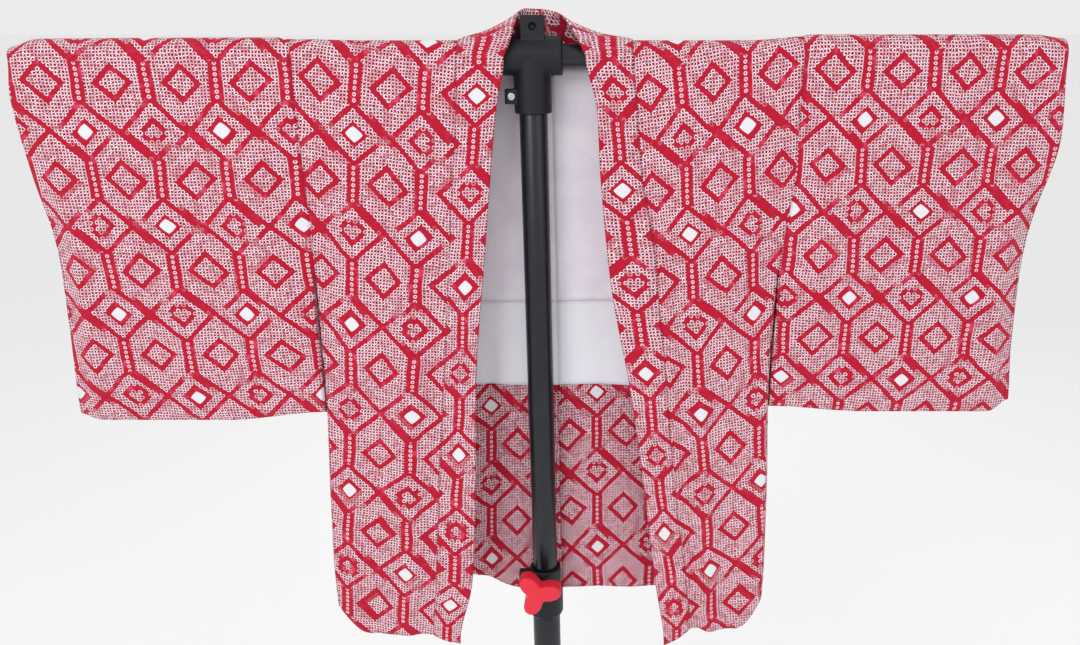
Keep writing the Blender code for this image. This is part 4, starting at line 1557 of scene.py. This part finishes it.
@dataclass
class SocketScrew:
    """The bright hexagon-socket screw in the T-fitting's lug."""

    finish: bpy.types.Material
    centre: Point = (-0.0250, -0.0143, 1.4530)
    radius: float = 0.0045
    height: float = 0.0035
    socket: float = 0.0021
    edge: float = 0.0007
    draft: float = 0.0001
    depth: float = 0.0020
    steps: int = 36

    def make(self) -> None:
        """Makes the screw's head with its six-sided socket."""
        bm = bmesh.new()
        bmesh.ops.create_circle(bm, cap_ends=True, segments=self.steps, radius=self.radius)
        raised(bm, (0.0, 0.0, self.height))
        rims = [edge for edge in bm.edges if all(vert.co.z > self.height / 2 for vert in edge.verts)]
        rounded(bm, rims, self.edge, 3)
        cap = max((face for face in bm.faces if face.normal.z > 0.99), key=lambda face: face.calc_area())
        bmesh.ops.inset_individual(bm, faces=[cap], thickness=self.radius - self.edge - self.socket)
        wedge = math.radians(60)
        for vert in cap.verts:
            bearing = (math.atan2(vert.co.y, vert.co.x) + wedge / 2) % wedge - wedge / 2
            vert.co.xy *= self.socket / math.cos(bearing) / vert.co.xy.length
        bmesh.ops.inset_individual(bm, faces=[cap], thickness=self.draft, depth=-self.depth)
        turned(bm, "X", self.centre)
        piece = finished("socket_screw", bm, self.finish)
        piece.data.set_sharp_from_angle(angle=math.radians(40))
        stand_for(piece, "tee_screw", Body.MAST, Slot.SCREW)


@dataclass
class RoundPiece:
    """A turned piece of the stand, in its CAD node's place.

    Args:
        node: the CAD node that it stands for.
        body: the body that it rides on.
        slot: the record's material slot.
        profile: its closed outline, as (radius, place along the axis) points.
        finish: its material.
        along_x: True where its axis is the crossbar's and not the mast's.
        rim: how wide its corners are rounded.
        steps: how many steps make the full turn.
    """

    node: str
    body: Body
    slot: Slot
    profile: Outline
    finish: bpy.types.Material
    along_x: bool = False
    rim: float = 0.0006
    steps: int = 96

    def make(self) -> None:
        """Spins the outline, rounds its corners and puts the piece in place."""
        bm = bmesh.new()
        spun(bm, self.profile, self.steps)
        least = math.radians(25)
        corners = [edge for edge in bm.edges if edge.is_manifold and edge.calc_face_angle() > least]
        rounded(bm, corners, self.rim, 2)
        if self.along_x:
            turned(bm, "Y", (0.0, 0.0, BAR_HEIGHT))
        piece = finished(f"{self.node}_round", bm, self.finish)
        piece.data.set_sharp_from_angle(angle=math.radians(40))
        stand_for(piece, self.node, self.body, self.slot)


def rod_outline(radius: float, low: float, high: float) -> Outline:
    """The outline of a plain round bar."""
    return ((0.0, low), (radius, low), (radius, high), (0.0, high))


PLATE_RADIUS, PLATE_TOP = 0.220, 0.008
PLATE_OUTLINE = (
    (0.0, 0.0),
    (PLATE_RADIUS - 0.002, 0.0),
    (PLATE_RADIUS, 0.002),
    (PLATE_RADIUS, PLATE_TOP - 0.003),
    (PLATE_RADIUS - 0.004, PLATE_TOP),
    (0.0, PLATE_TOP),
)
FOOT, SOCKET_TOP, SOCKET_BORE = 0.0083, 0.0600, 0.0203
SOCKET_OUTLINE = (
    (SOCKET_BORE, FOOT),
    (0.0363, FOOT),
    (0.0363, 0.0143),
    (0.0263, 0.0223),
    (0.0253, SOCKET_TOP - 0.001),
    (0.0243, SOCKET_TOP),
    (SOCKET_BORE, SOCKET_TOP),
)
TUBE_BORE, TUBE_RADIUS, TUBE_TOP = 0.0181, 0.0200, 0.7420
TUBE_OUTLINE = ((TUBE_BORE, FOOT), (TUBE_RADIUS, FOOT), (TUBE_RADIUS, TUBE_TOP), (TUBE_BORE, TUBE_TOP))
UPPER_TUBE_OUTLINE = rod_outline(0.0175, 0.360, 1.473)
CROSSBAR_OUTLINE = rod_outline(0.0142, -0.602, 0.620)


@dataclass
class Moulding:
    """A moulded plastic piece: shapes run together, cut, and softened at their corners."""

    finish: bpy.types.Material
    node: str
    body: Body
    voxel: float = 0.0009
    soften: int = 3

    def shapes(self, bm: bmesh.types.BMesh) -> None:
        """Adds the closed shapes that make the piece."""
        raise NotImplementedError

    def cuts(self, bm: bmesh.types.BMesh) -> None:
        """Adds the closed shapes that are cut out of it."""
        raise NotImplementedError

    @staticmethod
    def box(bm: bmesh.types.BMesh, corners: Box) -> None:
        """Adds a block.

        Args:
            bm: the mesh that it is added to.
            corners: its lowest and highest corners.
        """
        low, high = Vector(corners[0]), Vector(corners[1])
        made = bmesh.ops.create_cube(bm, size=1.0)["verts"]
        bmesh.ops.scale(bm, vec=high - low, verts=made)
        bmesh.ops.translate(bm, vec=(low + high) / 2, verts=made)

    @staticmethod
    def barrel(bm: bmesh.types.BMesh, radius: float, start: Sequence[float], end: Sequence[float]) -> None:
        """Adds a closed cylinder.

        Args:
            bm: the mesh that it is added to.
            radius: its radius.
            start: the centre of one end.
            end: the centre of the other.
        """
        first, last = Vector(start), Vector(end)
        turn = (last - first).to_track_quat("Z", "Y").to_matrix().to_4x4()
        sizes = {"radius1": radius, "radius2": radius, "depth": (last - first).length}
        made = bmesh.ops.create_cone(bm, cap_ends=True, segments=96, matrix=turn, **sizes)["verts"]
        bmesh.ops.translate(bm, vec=(first + last) / 2, verts=made)

    def make(self) -> None:
        """Runs the shapes together, cuts them, softens their corners and puts the piece in place."""
        bm, cutter = bmesh.new(), bmesh.new()
        self.shapes(bm)
        self.cuts(cutter)
        piece = finished(f"{self.node}_moulded", bm, self.finish)
        tool = finished(f"{self.node}_tool", cutter, self.finish)
        body = piece.modifiers.new("moulded", "REMESH")
        body.mode, body.voxel_size = "VOXEL", self.voxel
        cut = piece.modifiers.new("cut", "BOOLEAN")
        cut.operation, cut.object = "DIFFERENCE", tool
        graph = bpy.context.evaluated_depsgraph_get()
        mesh = bpy.data.meshes.new_from_object(piece.evaluated_get(graph))
        piece.modifiers.clear()
        piece.data = mesh
        bpy.data.objects.remove(tool, do_unlink=True)
        bm = bmesh.new()
        bm.from_mesh(mesh)
        every_way = {"use_axis_x": True, "use_axis_y": True, "use_axis_z": True}
        for _ in range(self.soften):
            bmesh.ops.smooth_vert(bm, verts=bm.verts, factor=0.5, **every_way)
        bm.to_mesh(mesh)
        bm.free()
        mesh.shade_smooth()
        stand_for(piece, self.node, self.body, Slot.PLASTIC)


@dataclass
class TeeFitting(Moulding):
    """The T that joins the crossbar to the mast, with its drilled tab and screw lug."""

    node: str = "tee_fitting"
    body: Body = Body.MAST
    radius: float = 0.0232
    socket_radius: float = 0.0230
    half_width: float = 0.037
    socket_bottom: float = BAR_HEIGHT - 0.068
    bar_bore: float = 0.0145
    mast_bore: float = 0.0178
    mast_bore_ends: Span = (1.412, 1.474)
    tab: Box = ((-0.0125, -0.0145, 1.5080), (0.0170, -0.0045, 1.5470))
    rib: Box = ((-0.0170, -0.0060, 1.5090), (-0.0100, 0.0030, 1.5360))
    lug: Box = ((-0.0335, -0.0140, 1.4435), (-0.0110, -0.0020, 1.4615))
    hole: float = 0.0042
    hole_start: Point = (0.0022, -0.0375, 1.5340)
    # painted shade: the hole ends 3 mm short of the tab's back, and its black plastic floor stands in for
    # the shaded cloth behind
    hole_floor_as_painted_shade: Point = (0.0022, -0.0075, 1.5340)

    def shapes(self, bm: bmesh.types.BMesh) -> None:
        """Adds the sleeve on the bar, the socket on the mast, the tab, its rib and the lug.

        Args:
            bm: the mesh that they are added to.
        """
        reach = self.half_width
        self.barrel(bm, self.radius, (-reach, 0.0, BAR_HEIGHT), (reach, 0.0, BAR_HEIGHT))
        self.barrel(bm, self.socket_radius, (0.0, 0.0, self.socket_bottom), (0.0, 0.0, BAR_HEIGHT))
        for block in (self.tab, self.rib, self.lug):
            self.box(bm, block)

    def cuts(self, bm: bmesh.types.BMesh) -> None:
        """Adds the two bores and the hole in the tab, which stops short of the tab's back so that its black
        floor stands in for the shade seen through it.

        Args:
            bm: the mesh that they are added to.
        """
        reach = 2 * self.half_width
        low, high = self.mast_bore_ends
        self.barrel(bm, self.bar_bore, (-reach, 0.0, BAR_HEIGHT), (reach, 0.0, BAR_HEIGHT))
        self.barrel(bm, self.mast_bore, (0.0, 0.0, low), (0.0, 0.0, high))
        self.barrel(bm, self.hole, self.hole_start, self.hole_floor_as_painted_shade)


@dataclass
class ClampCollar(Moulding):
    """The split collar that clamps the upper tube, with its ear and the knob's boss."""

    node: str = "clamp_collar"
    body: Body = Body.STAND
    outline: Outline = (
        (0.0203, 0.7020),
        (0.0215, 0.7020),
        (0.0250, 0.7080),
        (0.0250, 0.7440),
        (0.0210, 0.7450),
        (0.0210, 0.7600),
        (0.0225, 0.7610),
        (0.0225, 0.7820),
        (0.0215, 0.7830),
        (0.0181, 0.7830),
        (0.0181, 0.7430),
        (0.0203, 0.7430),
    )
    boss: float = 0.0105
    boss_start: Point = (-0.008, -0.0195, 0.770)
    boss_end: Point = (-0.008, -0.0360, 0.770)
    ear: Box = ((-0.0370, -0.0160, 0.7640), (-0.0185, -0.0040, 0.7820))
    split: Box = ((0.0100, -0.0160, 0.7455), (0.0300, 0.0160, 0.7595))

    def shapes(self, bm: bmesh.types.BMesh) -> None:
        """Adds the collar, the boss and the ear."""
        spun(bm, self.outline, 96)
        self.barrel(bm, self.boss, self.boss_start, self.boss_end)
        self.box(bm, self.ear)

    def cuts(self, bm: bmesh.types.BMesh) -> None:
        """Adds the split."""
        self.box(bm, self.split)


# ---------------------------------------------------------------------------- light, floor and camera
@dataclass(frozen=True)
class Lamp:
    """A square soft light that faces the jacket."""

    name: str
    place: Point
    power: float
    size: float
    aim: Point = (0.0, 0.0, 1.2)

    def make(self) -> None:
        """Hangs it."""
        light = bpy.data.lights.new(self.name, "AREA")
        light.energy, light.size = self.power, self.size
        holder = bpy.data.objects.new(self.name, light)
        holder.location = self.place
        holder.rotation_euler = (Vector(self.aim) - Vector(self.place)).to_track_quat("-Z", "Y").to_euler()
        bpy.context.scene.collection.objects.link(holder)


@dataclass(frozen=True)
class Studio:
    """A pale floor, soft light and the camera."""

    floor_size: float = 200.0
    pale: Colour = (0.95, 0.95, 0.95)
    floor_roughness: float = 0.9
    sky: float = 0.84
    lamps: tuple[Lamp, ...] = (
        Lamp("front_left", (-1.3, -2.4, 2.5), 24.0, 1.3),
        Lamp("front_right", (1.9, -2.0, 2.2), 6.0, 1.4),
        Lamp("behind", (0.4, 2.6, 2.6), 14.0, 1.8),
    )
    eye: Point = (0.095, -1.144, 1.533)
    looks_down: float = 18.6
    sensor: float = 36.0
    lens: float = 30.0
    shift: Span = (-0.0648, 0.0069)

    def make(self) -> None:
        """Builds them."""
        bm = bmesh.new()
        bmesh.ops.create_grid(bm, x_segments=2, y_segments=2, size=self.floor_size)
        finish = HardFinish("pale_floor", self.pale, self.pale, self.floor_roughness, 60.0, 0.0)
        finished("floor", bm, finish.material())
        world = bpy.data.worlds.new("studio")
        world.use_nodes = True
        background = world.node_tree.nodes["Background"]
        background.inputs["Color"].default_value = (1.0, 1.0, 1.0, 1.0)
        background.inputs["Strength"].default_value = self.sky
        bpy.context.scene.world = world
        for lamp in self.lamps:
            lamp.make()
        camera = bpy.data.cameras.new("camera")
        camera.sensor_fit = "HORIZONTAL"
        camera.sensor_width, camera.lens = self.sensor, self.lens
        camera.shift_x, camera.shift_y = self.shift
        holder = bpy.data.objects.new("camera", camera)
        holder.location = self.eye
        holder.rotation_euler = (math.radians(90.0 - self.looks_down), 0.0, 0.0)
        bpy.context.scene.collection.objects.link(holder)
        bpy.context.scene.camera = holder
        bpy.context.scene.view_settings.view_transform = "Standard"


def main() -> None:
    """Builds the jacket, the stand's looks and the studio."""
    logging.basicConfig(level=logging.INFO, format="%(name)s: %(message)s")
    shibori, lining, band = SHIBORI.material(), LINING_SILK.material(), BAND_SILK.material()
    bodies = tuple(BodyPanel(half, shibori, lining, band) for half in (LEFT, RIGHT))
    for body in bodies:
        body.make()
    Collar(bodies, shibori).make()
    for half in (LEFT, RIGHT):
        Sleeve(half, shibori, lining).make()
    Knob(RED_PLASTIC.material()).make()
    SocketScrew(BRIGHT_STEEL.material()).make()
    steel, plastic = SATIN_STEEL.material(), BLACK_PLASTIC.material()
    TeeFitting(plastic).make()
    ClampCollar(plastic).make()
    RoundPiece("base_plate", Body.STAND, Slot.STEEL, PLATE_OUTLINE, steel, steps=160).make()
    RoundPiece("base_socket", Body.STAND, Slot.PLASTIC, SOCKET_OUTLINE, plastic).make()
    RoundPiece("lower_tube", Body.STAND, Slot.STEEL, TUBE_OUTLINE, steel, rim=0.0004).make()
    RoundPiece("upper_tube", Body.MAST, Slot.STEEL, UPPER_TUBE_OUTLINE, steel).make()
    RoundPiece("crossbar", Body.MAST, Slot.STEEL, CROSSBAR_OUTLINE, steel, along_x=True).make()
    Studio().make()
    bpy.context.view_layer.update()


if __name__ == "__main__":
    main()
